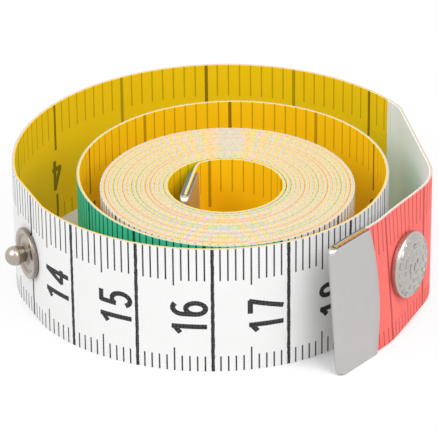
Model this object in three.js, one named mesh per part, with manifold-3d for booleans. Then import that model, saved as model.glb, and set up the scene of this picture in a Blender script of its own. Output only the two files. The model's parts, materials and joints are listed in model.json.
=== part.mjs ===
// A cloth tape measure, rolled up and standing on its edge.
// Millimetres, +Z up. The front of the roll faces -Y, and the free end of the tape is at the front right.
// The tape is wound counterclockwise from its outer end: a loose outer turn, a loose second turn and a
// tight coil. The free length up to the snap stud is a chain of short links on upright hinges, so that
// it can be unrolled.

import * as THREE from "three";
import { mergeVertices } from "three/addons/utils/BufferGeometryUtils.js";
import Module from "manifold-3d";

const wasm = await Module();
wasm.setup();

const DEGREE = Math.PI / 180;
const TURN = 2 * Math.PI;

// The tape, from the outside of one metal tip to the outside of the other
const TAPE_LENGTH = 1500;
const TAPE_WIDTH = 18;
const CORE_THICKNESS = 0.15; // the woven core, without its printed coats

// The tight coil
const BORE_RADIUS = 7.45;
const COIL_PITCH = 0.6;
const FRONT_DIRECTION = -100 * DEGREE; // where the coil's outer end leaves it

// The loose turns: how far each stands off the turn inside it where it is fullest, which way that
// is, and how quickly it draws in again towards the front
const SECOND_SLACK = 8;
const SECOND_LEAN = FRONT_DIRECTION + TURN / 2;
const SECOND_TAPER = 1.43;
const OUTER_SLACK = 11.5;
const OUTER_LEAN = 105 * DEGREE;
const OUTER_TAPER = 1.03;

// The free end: it leaves the outer turn in a corner, runs straight down the right side, bends at an
// elbow, runs straight under the snap cap and bends once more before its tip
const CORNER_DIRECTION = 44 * DEGREE;
const CORNER_RADIUS = 2.2;
const SIDE_HEADING = -80 * DEGREE;
const SIDE_RUN = 17;
const ELBOW_RADIUS = 9.8;
const CAP_HEADING = -119.5 * DEGREE;
const TIP_BEND_RADIUS = 5;
const TIP_HEADING = -130 * DEGREE;
const END_LEAN = 1.5; // how far the end's lower edge stands out past its upper edge at the tip

// The chain of links, counted along the tape from its outer end. It lies between the flat tape under
// the snap cap and the flat tape under the stud.
const LINK_COUNT = 6;
const CAP_RUN_OUT = 2.2; // from the flat under the cap to the end's hinge
const STUD_RUN_IN = 15.6; // from the chain's first hinge to the flat under the stud
const HINGE_SLIT = 0.3;

// The metal tips, and the inner end of the tape, which lies across the coil's bore
const TIP_LENGTH = 7.8;
const TIP_BULGE = 1.2; // how far the plates' edge bows out at the middle of their height
const TIP_CORNER = 0.8;
const SHEET_THICKNESS = 0.35;
const SEAT_GAP = 0.2; // between the tape's core and the metal on it
const INNER_END_LENGTH = 10.5;
const INNER_END_CLEARANCE = 0.3; // between the inner tip and the coil

// The snap fastener: cap and socket near the outer end, stud and eyelet where they meet it when the
// tape is rolled tight
const CAP_STATION = 16.7;
const CAP_DIAMETER = 9;
const CAP_HEIGHT = 1.7;
const CAP_RIM = 0.6;
const POST_DIAMETER = 2.4;
const HOLE_CLEARANCE = 0.25; // around a post in the tape
const FLAT_MARGIN = 0.8; // flat tape past the cap and the stud, on each side
const STUD_STATION = 131;
const STUD_DIAMETER = 7;
const STUD_FLANGE = 0.7;
const STUD_WALL = 0.3;
const BALL_DIAMETER = 3;
const NECK_DIAMETER = 2.3;
const EYELET_DIAMETER = 6.4;
const EYELET_FLANGE = 0.4;
const EYELET_WALL = 0.3;
const SOCKET_DIAMETER = 8.6;
const SOCKET_HEIGHT = 1.8;
const SOCKET_WALL = 0.4;
const MOUTH_GAP = 0.3; // around the ball in the socket's mouth
const SPRING_WIRE = 0.45;
const SPRING_OPENING = 40 * DEGREE;

// Facets
const COIL_STEPS = 24;
const FINE_STEPS = 360;
const LOOSE_STEP = 2.3;
const ROUND_FACETS = 32;
const ARC_FACETS = 8;

const tapeHalf = CORE_THICKNESS / 2;
const seat = tapeHalf + SEAT_GAP;
const capRun = CAP_DIAMETER + 2 * FLAT_MARGIN;
const studRun = STUD_DIAMETER + 2 * FLAT_MARGIN;
const endLength = CAP_STATION + capRun / 2 + CAP_RUN_OUT;
const chainStation = STUD_STATION - studRun / 2 - STUD_RUN_IN;
const linkLength = (chainStation - endLength) / LINK_COUNT;
const innerStation = TAPE_LENGTH - INNER_END_LENGTH;
const pointing = (angle, length) => new THREE.Vector2(length * Math.cos(angle), length * Math.sin(angle));

// How far the lower edge stands out past the upper one at a station: the end is upright at its hinge.
function leanAt(station) {
  const upright = THREE.MathUtils.smoothstep(station, CAP_STATION - capRun / 2, endLength);
  return END_LEAN * (1 - upright);
}

// How far a loose turn stands off in a direction: 0 at the front, 1 where the turn is fullest.
const swell = (direction, lean, taper) => ((1 + Math.cos(direction - lean)) / 2) ** taper;

// The middle line at an angle wound outward from the coil's outer end.
function woundPoint(wound, coilTurns) {
  const direction = FRONT_DIRECTION - wound;
  const outerStart = TURN - (OUTER_LEAN - SECOND_LEAN);
  let radius = BORE_RADIUS + tapeHalf + COIL_PITCH * (coilTurns + wound / TURN);
  if (wound > 0) radius += SECOND_SLACK * swell(direction, SECOND_LEAN, SECOND_TAPER);
  if (wound > outerStart) radius += OUTER_SLACK * swell(direction, OUTER_LEAN, OUTER_TAPER);
  return pointing(direction, radius);
}

// The free end, from the last point of the outer turn to the outside of the tip.
function freeEnd(start, heading) {
  const points = [];
  let at = start;
  let facing = heading;
  const run = (length) => {
    at = at.clone().add(pointing(facing, length));
    points.push(at);
  };
  const bendTo = (radius, target) => {
    const turn = facing - target;
    const steps = Math.ceil((turn / TURN) * FINE_STEPS);
    for (let i = 0; i < steps; i++) {
      facing -= turn / steps / 2;
      run((radius * turn) / steps);
      facing -= turn / steps / 2;
    }
  };
  bendTo(CORNER_RADIUS, SIDE_HEADING);
  run(SIDE_RUN);
  bendTo(ELBOW_RADIUS, CAP_HEADING);
  run(capRun);
  bendTo(TIP_BEND_RADIUS, TIP_HEADING);
  run(CAP_STATION - capRun / 2 - TIP_BEND_RADIUS * (CAP_HEADING - TIP_HEADING));
  return points;
}

// The middle line from the coil's inner end to the outer tip. Each place holds its point, its station
// (the distance along the tape from the outside of the outer tip) and, on the wound part, the angle
// wound outward from the coil's outer end.
function middleLine(coilTurns) {
  const fineStep = TURN / FINE_STEPS;
  const outerEnd = 2 * TURN - (CORNER_DIRECTION - FRONT_DIRECTION);
  const places = [];
  for (let wound = -coilTurns * TURN; wound < outerEnd; wound += fineStep) {
    places.push({ point: woundPoint(wound, coilTurns), wound });
  }
  const last = woundPoint(outerEnd, coilTurns);
  const heading = last.clone().sub(woundPoint(outerEnd - fineStep, coilTurns)).angle() - TURN;
  places.push({ point: last, wound: outerEnd });
  places.push(...freeEnd(last, heading).map((point) => ({ point })));
  places.at(-1).station = 0;
  for (let i = places.length - 2; i >= 0; i--) {
    places[i].station = places[i + 1].station + places[i].point.distanceTo(places[i + 1].point);
  }
  return places;
}

// As many turns in the coil as use up the tape's length.
function solveTurns() {
  let few = 1;
  let many = 60;
  while (many - few > 1e-6) {
    const turns = (few + many) / 2;
    if (middleLine(turns)[0].station < innerStation) few = turns;
    else many = turns;
  }
  return few;
}

const wholeLine = middleLine(solveTurns());
const coilStation = wholeLine.find(({ wound }) => wound >= 0).station;
const secondStation = wholeLine.find(({ wound }) => wound >= TURN).station;

// The stud holds the tape flat, so the middle line is straight there.
const line = wholeLine.filter(({ station }) => Math.abs(station - STUD_STATION) > studRun / 2);

// The point at a station, with the tangent towards the inner end, the outer face's normal and the lean.
function tapeAt(station) {
  let low = 0;
  let high = line.length - 1;
  while (high - low > 1) {
    const middle = Math.floor((low + high) / 2);
    if (line[middle].station >= station) low = middle;
    else high = middle;
  }
  const inner = line[low];
  const outer = line[high];
  const share = (station - outer.station) / (inner.station - outer.station);
  const tangent = inner.point.clone().sub(outer.point).normalize();
  const outward = new THREE.Vector2(tangent.y, -tangent.x);
  return { point: outer.point.clone().lerp(inner.point, share), tangent, outward, lean: leanAt(station) };
}

// Places along a loose stretch between two stations, from the outer end.
function loosePlaces(from, to) {
  const steps = Math.ceil((to - from) / LOOSE_STEP);
  return Array.from({ length: steps + 1 }, (_, i) => tapeAt(THREE.MathUtils.lerp(from, to, i / steps)));
}

// Places along the tight coil from its outer end, in line with each other from turn to turn.
function coilPlaces() {
  const from = coilStation + HINGE_SLIT / 2;
  const to = innerStation - HINGE_SLIT / 2;
  const everyStep = FINE_STEPS / COIL_STEPS;
  const inLine = line.filter((_, i) => i % everyStep === 0).map(({ station }) => station);
  const between = inLine.filter((station) => station > from && station < to);
  return [from, ...between.reverse(), to].map(tapeAt);
}

// Both faces of the core at a place, and at a height above the lower edge.
function facePoint({ point, outward, lean = 0 }, side, height = TAPE_WIDTH / 2) {
  const out = side * tapeHalf + lean * (1 / 2 - height / TAPE_WIDTH);
  return point.clone().addScaledVector(outward, out);
}

// A closed strip of the core that stands on its edge along a row of places.
function stripGeometry(places) {
  const corners = [];
  const faces = [];
  const section = [[1, 0], [1, TAPE_WIDTH], [-1, TAPE_WIDTH], [-1, 0]];
  for (const place of places) {
    for (const [side, height] of section) {
      const { x, y } = facePoint(place, side, height);
      corners.push(x, y, height);
    }
  }
  const last = 4 * (places.length - 1);
  for (let i = 0; i < last; i += 4) {
    for (let c = 0; c < 4; c++) {
      const d = (c + 1) % 4;
      faces.push(i + c, i + 4 + c, i + 4 + d, i + c, i + 4 + d, i + d);
    }
  }
  faces.push(0, 1, 2, 0, 2, 3);
  faces.push(last, last + 2, last + 1, last, last + 3, last + 2);
  return new THREE.BufferGeometry()
    .setAttribute("position", new THREE.Float32BufferAttribute(corners, 3))
    .setIndex(faces);
}

// The least gap that a wound strip leaves to itself, measured between points of its two faces that are
// at least half a turn apart along the strip.
function leastGap(places) {
  const perStep = 4;
  const face = (side) =>
    places.slice(1).flatMap((place, i) => {
      const from = facePoint(places[i], side);
      const to = facePoint(place, side);
      return Array.from({ length: perStep }, (_, k) => from.clone().lerp(to, k / perStep));
    });
  const outer = face(1);
  const inner = face(-1);
  const along = [0];
  inner.slice(1).forEach((point, i) => along.push(along[i] + point.distanceTo(inner[i])));
  let least = Infinity;
  inner.forEach((point, i) => {
    outer.forEach((other, k) => {
      if (along[k] - along[i] > (TURN / 2) * BORE_RADIUS) least = Math.min(least, point.distanceTo(other));
    });
  });
  return least;
}

function toSolid(geometry) {
  const bare = geometry.clone();
  bare.deleteAttribute("normal");
  bare.deleteAttribute("uv");
  const merged = mergeVertices(bare);
  return new wasm.Manifold(
    new wasm.Mesh({
      numProp: 3,
      vertProperties: new Float32Array(merged.attributes.position.array),
      triVerts: new Uint32Array(merged.index.array),
    }),
  );
}

function toGeometry(solid) {
  const mesh = solid.getMesh();
  return new THREE.BufferGeometry()
    .setAttribute("position", new THREE.BufferAttribute(mesh.vertProperties, 3))
    .setIndex(new THREE.BufferAttribute(mesh.triVerts, 1));
}

// A body of revolution about its local Y axis.
function turned(profile) {
  const points = profile.map(([radius, height]) => new THREE.Vector2(radius, height));
  return new THREE.LatheGeometry(points, ROUND_FACETS);
}

// Leans a geometry whose local Y is out of the outer face (side 1) or of the inner face (side -1).
function leant(geometry, station, side) {
  const slope = (-side * leanAt(station)) / TAPE_WIDTH;
  return geometry.applyMatrix4(new THREE.Matrix4().makeShear(0, 0, 0, 0, 0, slope));
}

// Stands an object at mid-width at a station, with its local Y out of the outer face.
function seatAt(object, station) {
  const { point, tangent } = tapeAt(station);
  object.position.set(point.x, point.y, TAPE_WIDTH / 2);
  object.rotation.z = tangent.angle() + TURN / 2;
  object.updateMatrix();
  return object;
}

// A strip of tape with a round hole for a post.
function piercedStrip(places, station, postDiameter) {
  const radius = postDiameter / 2 + HOLE_CLEARANCE;
  const drillLength = 4 * seat;
  const drill = new THREE.CylinderGeometry(radius, radius, drillLength, ROUND_FACETS);
  drill.applyMatrix4(seatAt(new THREE.Object3D(), station).matrix);
  return toGeometry(toSolid(stripGeometry(places)).subtract(toSolid(drill)));
}

// A tip folded over an end of the tape: local X runs from the outside of the fold along the plates.
const tipHalf = seat + SHEET_THICKNESS;
function tipGeometry() {
  const reach = TIP_LENGTH + TIP_BULGE;
  const section = new THREE.Shape();
  section.moveTo(reach, tipHalf);
  section.lineTo(tipHalf, tipHalf);
  section.absarc(tipHalf, 0, tipHalf, TURN / 4, (3 * TURN) / 4, false);
  section.lineTo(reach, -tipHalf);
  section.lineTo(reach, -seat);
  section.lineTo(tipHalf, -seat);
  section.absarc(tipHalf, 0, seat, (3 * TURN) / 4, TURN / 4, true);
  section.lineTo(reach, seat);
  const folded = new THREE.ExtrudeGeometry(section, {
    depth: TAPE_WIDTH,
    bevelEnabled: false,
    curveSegments: ARC_FACETS,
  });

  const half = TAPE_WIDTH / 2;
  const bow = (half * half + TIP_BULGE * TIP_BULGE) / (2 * TIP_BULGE);
  const sweep = Math.asin(half / bow);
  const outline = new THREE.Shape();
  outline.moveTo(TIP_CORNER, -half);
  outline.lineTo(TIP_LENGTH, -half);
  outline.absarc(reach - bow, 0, bow, -sweep, sweep, false);
  outline.lineTo(TIP_CORNER, half);
  outline.absarc(TIP_CORNER, half - TIP_CORNER, TIP_CORNER, TURN / 4, TURN / 2, false);
  outline.absarc(TIP_CORNER, TIP_CORNER - half, TIP_CORNER, TURN / 2, (3 * TURN) / 4, false);
  const trim = new THREE.ExtrudeGeometry(outline, {
    depth: 4 * tipHalf,
    bevelEnabled: false,
    curveSegments: ARC_FACETS,
  });
  trim.translate(0, 0, -2 * tipHalf);
  trim.rotateX(TURN / 4);
  folded.translate(0, 0, -half);
  return toGeometry(toSolid(folded).intersect(toSolid(trim)));
}

// The snap cap: a low dome on a post that goes through the tape into the socket's base.
function capGeometry() {
  const radius = CAP_DIAMETER / 2;
  const post = POST_DIAMETER / 2;
  const postEnd = -seat - SOCKET_WALL;
  const rimTop = seat + CAP_RIM;
  const profile = [[0, postEnd], [post, postEnd], [post, seat], [radius, seat], [radius, rimTop]];
  for (let i = 1; i < ARC_FACETS; i++) {
    const angle = (i / ARC_FACETS) * (TURN / 4);
    profile.push([radius * Math.cos(angle), rimTop + (CAP_HEIGHT - CAP_RIM) * Math.sin(angle)]);
  }
  profile.push([0, seat + CAP_HEIGHT]);
  return turned(profile);
}

// The socket behind the cap: a base around the post, and a hat whose mouth is narrower than the room
// in it, where the spring lies.
const ballRadius = BALL_DIAMETER / 2;
const mouthRadius = ballRadius + MOUTH_GAP;
const roomRadius = mouthRadius + SPRING_WIRE + SEAT_GAP;
const socketFront = -seat - SOCKET_HEIGHT;
function socketGeometry() {
  const radius = SOCKET_DIAMETER / 2;
  const postHole = POST_DIAMETER / 2 + SEAT_GAP;
  const hat = roomRadius + SOCKET_WALL;
  const baseFront = -seat - SOCKET_WALL;
  const lipBack = socketFront + SOCKET_WALL;
  const room = [[postHole, -seat], [postHole, baseFront], [roomRadius, baseFront], [roomRadius, lipBack]];
  const mouth = [[mouthRadius, lipBack], [mouthRadius, socketFront], [hat, socketFront]];
  const brim = [[hat, baseFront], [radius, baseFront], [radius, -seat], [postHole, -seat]];
  return turned([...room, ...mouth, ...brim]);
}

// The split wire ring in the socket's room.
class SpringRing extends THREE.Curve {
  getPoint(share, target = new THREE.Vector3()) {
    const radius = mouthRadius + SPRING_WIRE / 2;
    const angle = SPRING_OPENING / 2 + share * (TURN - SPRING_OPENING);
    return target.set(radius * Math.cos(angle), -seat - SOCKET_HEIGHT / 2, radius * Math.sin(angle));
  }
}
function springGeometry() {
  const wire = new THREE.Shape().absarc(0, 0, SPRING_WIRE / 2, 0, TURN, false);
  return new THREE.ExtrudeGeometry(wire, {
    extrudePath: new SpringRing(),
    steps: ROUND_FACETS,
    bevelEnabled: false,
    curveSegments: ARC_FACETS,
  });
}

// The stud: a flange, a neck and a ball, bored from behind for the eyelet's tube.
const tubeRadius = NECK_DIAMETER / 2 - STUD_WALL - SEAT_GAP;
const ballCentre = seat + STUD_FLANGE + ballRadius;
function studGeometry() {
  const radius = STUD_DIAMETER / 2;
  const neck = NECK_DIAMETER / 2;
  const bore = tubeRadius + SEAT_GAP;
  const top = seat + STUD_FLANGE;
  const profile = [[0, ballCentre], [bore, ballCentre], [bore, seat], [radius, seat], [radius, top]];
  profile.push([neck, top]);
  const lowest = -Math.acos(neck / ballRadius);
  for (let i = 0; i < ARC_FACETS; i++) {
    const angle = THREE.MathUtils.lerp(lowest, TURN / 4, i / ARC_FACETS);
    profile.push([ballRadius * Math.cos(angle), ballCentre + ballRadius * Math.sin(angle)]);
  }
  profile.push([0, ballCentre + ballRadius]);
  return turned(profile);
}

// The eyelet: a flange on the inner face, with a tube through the tape into the stud.
function eyeletGeometry() {
  const radius = EYELET_DIAMETER / 2;
  const back = -seat - EYELET_FLANGE;
  const top = ballCentre - SEAT_GAP;
  const bore = tubeRadius - EYELET_WALL;
  const flange = [[bore, back], [radius, back], [radius, -seat], [tubeRadius, -seat]];
  return turned([...flange, [tubeRadius, top], [bore, top], [bore, back]]);
}

// Finishes: the tape has a colour for each ten centimetres of its outer face.
const finish = (name, color, roughness, metalness) =>
  new THREE.MeshStandardMaterial({ name, color, roughness, metalness });
const tapeFinish = (name, color) => finish(name, color, 0.6, 0);
const BANDS = [
  { until: 100, name: "tape_red", color: 0xf2675c },
  { until: 200, name: "tape_white", color: 0xf4f3f0 },
  { until: Infinity, name: "tape_green", color: 0x2dba92 },
];
function bandFinish(station) {
  const { name, color } = BANDS.find(({ until }) => station < until);
  return tapeFinish(name, color);
}
const woundFinish = () => tapeFinish("tape_wound", 0xefe3b8);
const nickel = () => finish("nickel", 0xc9c6c0, 0.3, 1);
const tipMetal = () => finish("tip_metal", 0xc3c1be, 0.5, 1);

function piece(name, geometry, material) {
  const mesh = new THREE.Mesh(geometry, material);
  mesh.name = name;
  return mesh;
}

// A group that turns about an upright axis at a point of the plan, inside the group that carries it.
function hingeGroup(name, point, carrier) {
  const group = new THREE.Group();
  group.name = name;
  group.userData.axis = point;
  group.position.set(point.x, point.y, 0);
  if (carrier) {
    group.position.x -= carrier.userData.axis.x;
    group.position.y -= carrier.userData.axis.y;
    carrier.add(group);
  }
  return group;
}

// Adds a piece that lies in the roll's plan to the group that carries it.
function carry(group, mesh) {
  mesh.position.x -= group.userData.axis.x;
  mesh.position.y -= group.userData.axis.y;
  group.add(mesh);
}

// The roll itself: the tight coil, the second turn and the outer turn as far as the chain
const roll = hingeGroup("roll", new THREE.Vector2());
const coil = coilPlaces();
carry(roll, piece("tape_coil", stripGeometry(coil), woundFinish()));
const second = loosePlaces(secondStation + HINGE_SLIT / 2, coilStation - HINGE_SLIT / 2);
carry(roll, piece("tape_second_turn", stripGeometry(second), bandFinish((secondStation + coilStation) / 2)));
const outer = loosePlaces(chainStation + HINGE_SLIT / 2, secondStation - HINGE_SLIT / 2);
const outerStrip = piercedStrip(outer, STUD_STATION, 2 * tubeRadius);
carry(roll, piece("tape_outer_turn", outerStrip, bandFinish(STUD_STATION)));
carry(roll, seatAt(piece("snap_stud", studGeometry(), nickel()), STUD_STATION));
carry(roll, seatAt(piece("stud_eyelet", eyeletGeometry(), nickel()), STUD_STATION));
console.log(`least gap between the turns: ${leastGap([...second, ...coil]).toFixed(3)} mm`);

// The links of the free length, from the roll to the end
let carrier = roll;
for (let n = LINK_COUNT; n >= 1; n--) {
  const innerEdge = endLength + n * linkLength;
  const outerEdge = innerEdge - linkLength;
  const strip = stripGeometry(loosePlaces(outerEdge + HINGE_SLIT / 2, innerEdge - HINGE_SLIT / 2));
  const group = hingeGroup(`hinge_${n}`, tapeAt(innerEdge).point, carrier);
  const name = `tape_link_${String(n).padStart(2, "0")}`;
  carry(group, piece(name, strip, bandFinish((innerEdge + outerEdge) / 2)));
  carrier = group;
}

// The outer end, with the cap, the socket and the outer tip
const coreInset = SHEET_THICKNESS + SEAT_GAP;
const end = hingeGroup("hinge_end", tapeAt(endLength).point, carrier);
const endPlaces = loosePlaces(coreInset, endLength - HINGE_SLIT / 2);
carry(end, piece("tape_end", piercedStrip(endPlaces, CAP_STATION, POST_DIAMETER), bandFinish(0)));
const snapped = { snap_cap: capGeometry(), snap_socket: socketGeometry(), socket_spring: springGeometry() };
for (const [name, geometry] of Object.entries(snapped)) {
  carry(end, seatAt(piece(name, leant(geometry, CAP_STATION, 1), nickel()), CAP_STATION));
}
const outerTip = seatAt(piece("outer_tip", leant(tipGeometry(), 0, -1), tipMetal()), 0);
outerTip.rotation.z += TURN / 2;
carry(end, outerTip);

// The inner end, which leans across the bore until its tip is near the coil again
const innerPoint = tapeAt(innerStation).point;
const innerRadius = innerPoint.length();
const tipRadius = BORE_RADIUS + COIL_PITCH / 2 - tipHalf - INNER_END_CLEARANCE;
const lean = Math.asin(
  (innerRadius ** 2 + INNER_END_LENGTH ** 2 - tipRadius ** 2) / (2 * innerRadius * INNER_END_LENGTH),
);
const innerHeading = innerPoint.angle() + TURN / 4 + lean;
const innerEnd = hingeGroup("hinge_inner_end", innerPoint, roll);
const innerPlaces = [HINGE_SLIT / 2, INNER_END_LENGTH - coreInset].map((along) => ({
  point: innerPoint.clone().add(pointing(innerHeading, along)),
  outward: pointing(innerHeading - TURN / 4, 1),
}));
carry(innerEnd, piece("tape_inner_end", stripGeometry(innerPlaces), woundFinish()));
const innerTip = piece("inner_tip", tipGeometry(), tipMetal());
const tipPoint = innerPoint.clone().add(pointing(innerHeading, INNER_END_LENGTH));
innerTip.position.set(tipPoint.x, tipPoint.y, TAPE_WIDTH / 2);
innerTip.rotation.z = innerHeading + TURN / 2;
carry(innerEnd, innerTip);

// The origin is under the middle of the whole roll.
const tapeMeasure = new THREE.Group();
tapeMeasure.name = "cloth_tape_measure";
tapeMeasure.add(roll);
tapeMeasure.updateMatrixWorld(true);
const box = new THREE.Box3().setFromObject(tapeMeasure, true);
const middle = box.getCenter(new THREE.Vector3());
roll.position.set(-middle.x, -middle.y, -box.min.z);

export default tapeMeasure;
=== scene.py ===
"""A cloth tape measure, rolled up and standing on its edge, with its finishes, stage and camera."""

import json
import math

import bpy
import numpy as np
from bpy.props import FloatProperty, FloatVectorProperty, IntProperty, PointerProperty
from mathutils import Matrix, Vector
from mathutils.geometry import delaunay_2d_cdt


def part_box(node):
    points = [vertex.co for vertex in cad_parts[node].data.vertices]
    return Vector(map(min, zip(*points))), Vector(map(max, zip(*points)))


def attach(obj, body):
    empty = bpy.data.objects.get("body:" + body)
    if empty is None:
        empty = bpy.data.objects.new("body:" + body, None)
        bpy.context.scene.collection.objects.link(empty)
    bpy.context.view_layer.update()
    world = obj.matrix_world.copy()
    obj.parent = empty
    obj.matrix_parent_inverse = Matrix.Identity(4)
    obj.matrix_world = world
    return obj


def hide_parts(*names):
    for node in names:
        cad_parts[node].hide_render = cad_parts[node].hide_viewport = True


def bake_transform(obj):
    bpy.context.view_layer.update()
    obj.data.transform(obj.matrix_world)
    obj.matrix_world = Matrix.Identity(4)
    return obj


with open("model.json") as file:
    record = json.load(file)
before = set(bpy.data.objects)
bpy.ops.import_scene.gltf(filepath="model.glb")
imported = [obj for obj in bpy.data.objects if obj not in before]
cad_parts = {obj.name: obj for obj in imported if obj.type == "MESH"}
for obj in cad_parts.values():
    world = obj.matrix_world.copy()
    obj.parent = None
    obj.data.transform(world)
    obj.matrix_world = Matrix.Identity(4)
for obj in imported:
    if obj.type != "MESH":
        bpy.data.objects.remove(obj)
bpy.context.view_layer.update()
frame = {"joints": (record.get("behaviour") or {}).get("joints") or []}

bl_info = {
    "name": "Cloth Tape Measure",
    "version": (1, 0, 0),
    "blender": (4, 5, 0),
    "location": "3D View > Sidebar > Tape Measure",
    "description": "Builds a rolled cloth tape measure with its print, metal tips and snap fastener",
    "category": "Add Mesh",
}

MM = 0.001
DEGREE = math.pi / 180
TURN = 2 * math.pi
INCH = 25.4 * MM
INCH_PARTS = 16

# How the tape is wound, with the same values as the solids of the frame
TAPE_LENGTH = 1500 * MM
CORE_THICKNESS = 0.15 * MM
BORE_RADIUS = 7.45 * MM
COIL_PITCH = 0.6 * MM
FRONT_DIRECTION = -100 * DEGREE
SECOND_SLACK = 8 * MM
SECOND_LEAN = FRONT_DIRECTION + TURN / 2
SECOND_TAPER = 1.43
OUTER_SLACK = 11.5 * MM
OUTER_LEAN = 105 * DEGREE
OUTER_TAPER = 1.03
CORNER_DIRECTION = 44 * DEGREE
CORNER_RADIUS = 2.2 * MM
SIDE_HEADING = -80 * DEGREE
SIDE_RUN = 17 * MM
ELBOW_RADIUS = 9.8 * MM
CAP_HEADING = -119.5 * DEGREE
TIP_BEND_RADIUS = 5 * MM
TIP_HEADING = -130 * DEGREE
END_LEAN = 1.5 * MM  # how far the end's lower edge stands out past its upper edge at the tip
WINDING_STEPS = 360

# Places along the tape, counted from the outside of its outer tip
CAP_STATION = 16.7 * MM
CAP_FLAT = 10.6 * MM
STUD_STATION = 131 * MM
STUD_FLAT = 8.6 * MM
END_BEND_OUT = 2.2 * MM  # from the flat under the cap to the end's hinge
STUD_BEND_IN = 15.6 * MM  # from the chain's first hinge to the flat under the stud
END_HINGE = CAP_STATION + CAP_FLAT / 2 + END_BEND_OUT
CHAIN_STATION = STUD_STATION - STUD_FLAT / 2 - STUD_BEND_IN
LINK_COUNT = 6
LINK_LENGTH = (CHAIN_STATION - END_HINGE) / LINK_COUNT
INNER_END_LENGTH = 10.5 * MM
INNER_HINGE = TAPE_LENGTH - INNER_END_LENGTH
INNER_TIP_RADIUS = 6.825 * MM  # from the coil's middle to the inner tip's end
INNER_BEND_IN = 4 * MM  # where the inner end starts to bend, before its hinge
INNER_BEND_OUT = 3 * MM

# The metal is seated on the tape at these distances from its middle line
SEAT = 0.275 * MM
SHEET_THICKNESS = 0.35 * MM
TIP_ROOM = 0.2 * MM  # between the tape's end and the tip's fold

# How finely the tape is modelled
LINE_STEP = 0.25 * MM
SMOOTHING_PASSES = 12
COLUMN_MM = 1.0
MERGE_MM = 0.001
SPREAD_RUN = 40 * MM  # over which the tape grows from its loose thickness to the coil's
SLIVER_MM2 = 0.005  # what is left of a line past a strip's end, and not drawn
MOST_INK = 1.01  # how much of its outlines' area the ink may cover
SHARP_ANGLE = 30 * DEGREE


def size(name, description, default_mm):
    """A length that a user may change, given in millimetres."""
    return FloatProperty(
        name=name, description=description, default=default_mm * MM, min=0, precision=5, unit="LENGTH"
    )


def colour(name, description, default):
    """A colour that a user may change."""
    return FloatVectorProperty(
        name=name, description=description, default=default, size=3, min=0, max=1, subtype="COLOR"
    )


def strength(name, description, default, **more):
    """A plain number that a user may change."""
    return FloatProperty(name=name, description=description, default=default, min=0, **more)


def turn_angle(name, description, default):
    """An angle that a user may change."""
    return FloatProperty(name=name, description=description, default=default, subtype="ANGLE")


def side_shift(name, description, default_mm):
    """A distance to either side that a user may change, given in millimetres."""
    return FloatProperty(
        name=name, description=description, default=default_mm * MM, precision=5, unit="LENGTH"
    )


class TapeSizes(bpy.types.PropertyGroup):
    """Sizes of the strip of tape"""

    width: size("Width", "Across the tape, from edge to edge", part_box("tape_coil")[1].z / MM)
    thickness: size("Thickness", "Through the woven core and both coats", 0.4)
    wound_thickness: size("Wound thickness", "Through a turn of the coil, with its spread edges", 0.565)
    outer_coat: size("Outer coat", "Coat on the face that is printed in centimetres", 0.052)
    inner_coat: size("Inner coat", "Coat on the face that is printed in inches", 0.11)
    edge_round: size("Edge rounding", "Bevel along the cut edges", 0.014)
    yarn: size("Yarn", "Distance from one yarn of the weave to the next", 0.42)
    inner_white: size("White lead", "Where the inner face's white lead stops, from the scales' zero", 46.9)


class PrintSizes(bpy.types.PropertyGroup):
    """Sizes of the printed scales"""

    zero: size("Zero", "From the outside of the outer tip to the scales' zero", 1.9)
    tick_width: size("Tick width", "Width of the millimetre ticks", 0.21)
    line_width: size("Line width", "Width of the centimetre lines", 0.46)
    ragged: size("Ragged", "How far the lines' sides step with the yarns", 0.035)
    upper_tick: size("Upper tick", "Millimetre ticks at the upper edge", 4.6)
    upper_half: size("Upper half tick", "Five-millimetre ticks at the upper edge", 5.4)
    lower_tick: size("Lower tick", "Millimetre ticks at the lower edge", 2.25)
    lower_half: size("Lower half tick", "Five-millimetre ticks at the lower edge", 3.4)
    digit_height: size("Digit height", "Height of the centimetre numbers", 4.95)
    digit_width: size("Digit width", "Width of one digit", 2.36)
    digit_space: size("Digit space", "Between two digits of a number", 0.5)
    stroke: size("Stroke", "Stroke width of the numbers", 0.7)
    digit_offset: size("Number offset", "From a number to its centimetre line", 0.55)
    digit_level: size("Number level", "Height of the numbers' middle above the lower edge", 7.9)
    inch_tick: size("Inch tick", "Sixteenth-inch ticks at the upper edge", 4.8)
    inch_line: size("Inch line", "Half-inch and inch lines at the upper edge", 7.0)
    inch_foot: size("Inch foot", "Inch lines at the lower edge", 4.1)
    inch_level: size("Inch level", "Height of the inch numbers' foot above the lower edge", 9.6)


class TipSizes(bpy.types.PropertyGroup):
    """Sizes of the folded metal tips"""

    length: size("Length", "From the fold to the plates' corners", 7.8)
    bulge: size("Bulge", "How far the plates' edge bows out", 1.2)
    corner: size("Corner", "Rounding of the fold's ends", 0.8)
    bevel: size("Bevel", "Rounding of the sheet's edges", 0.08)


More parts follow.
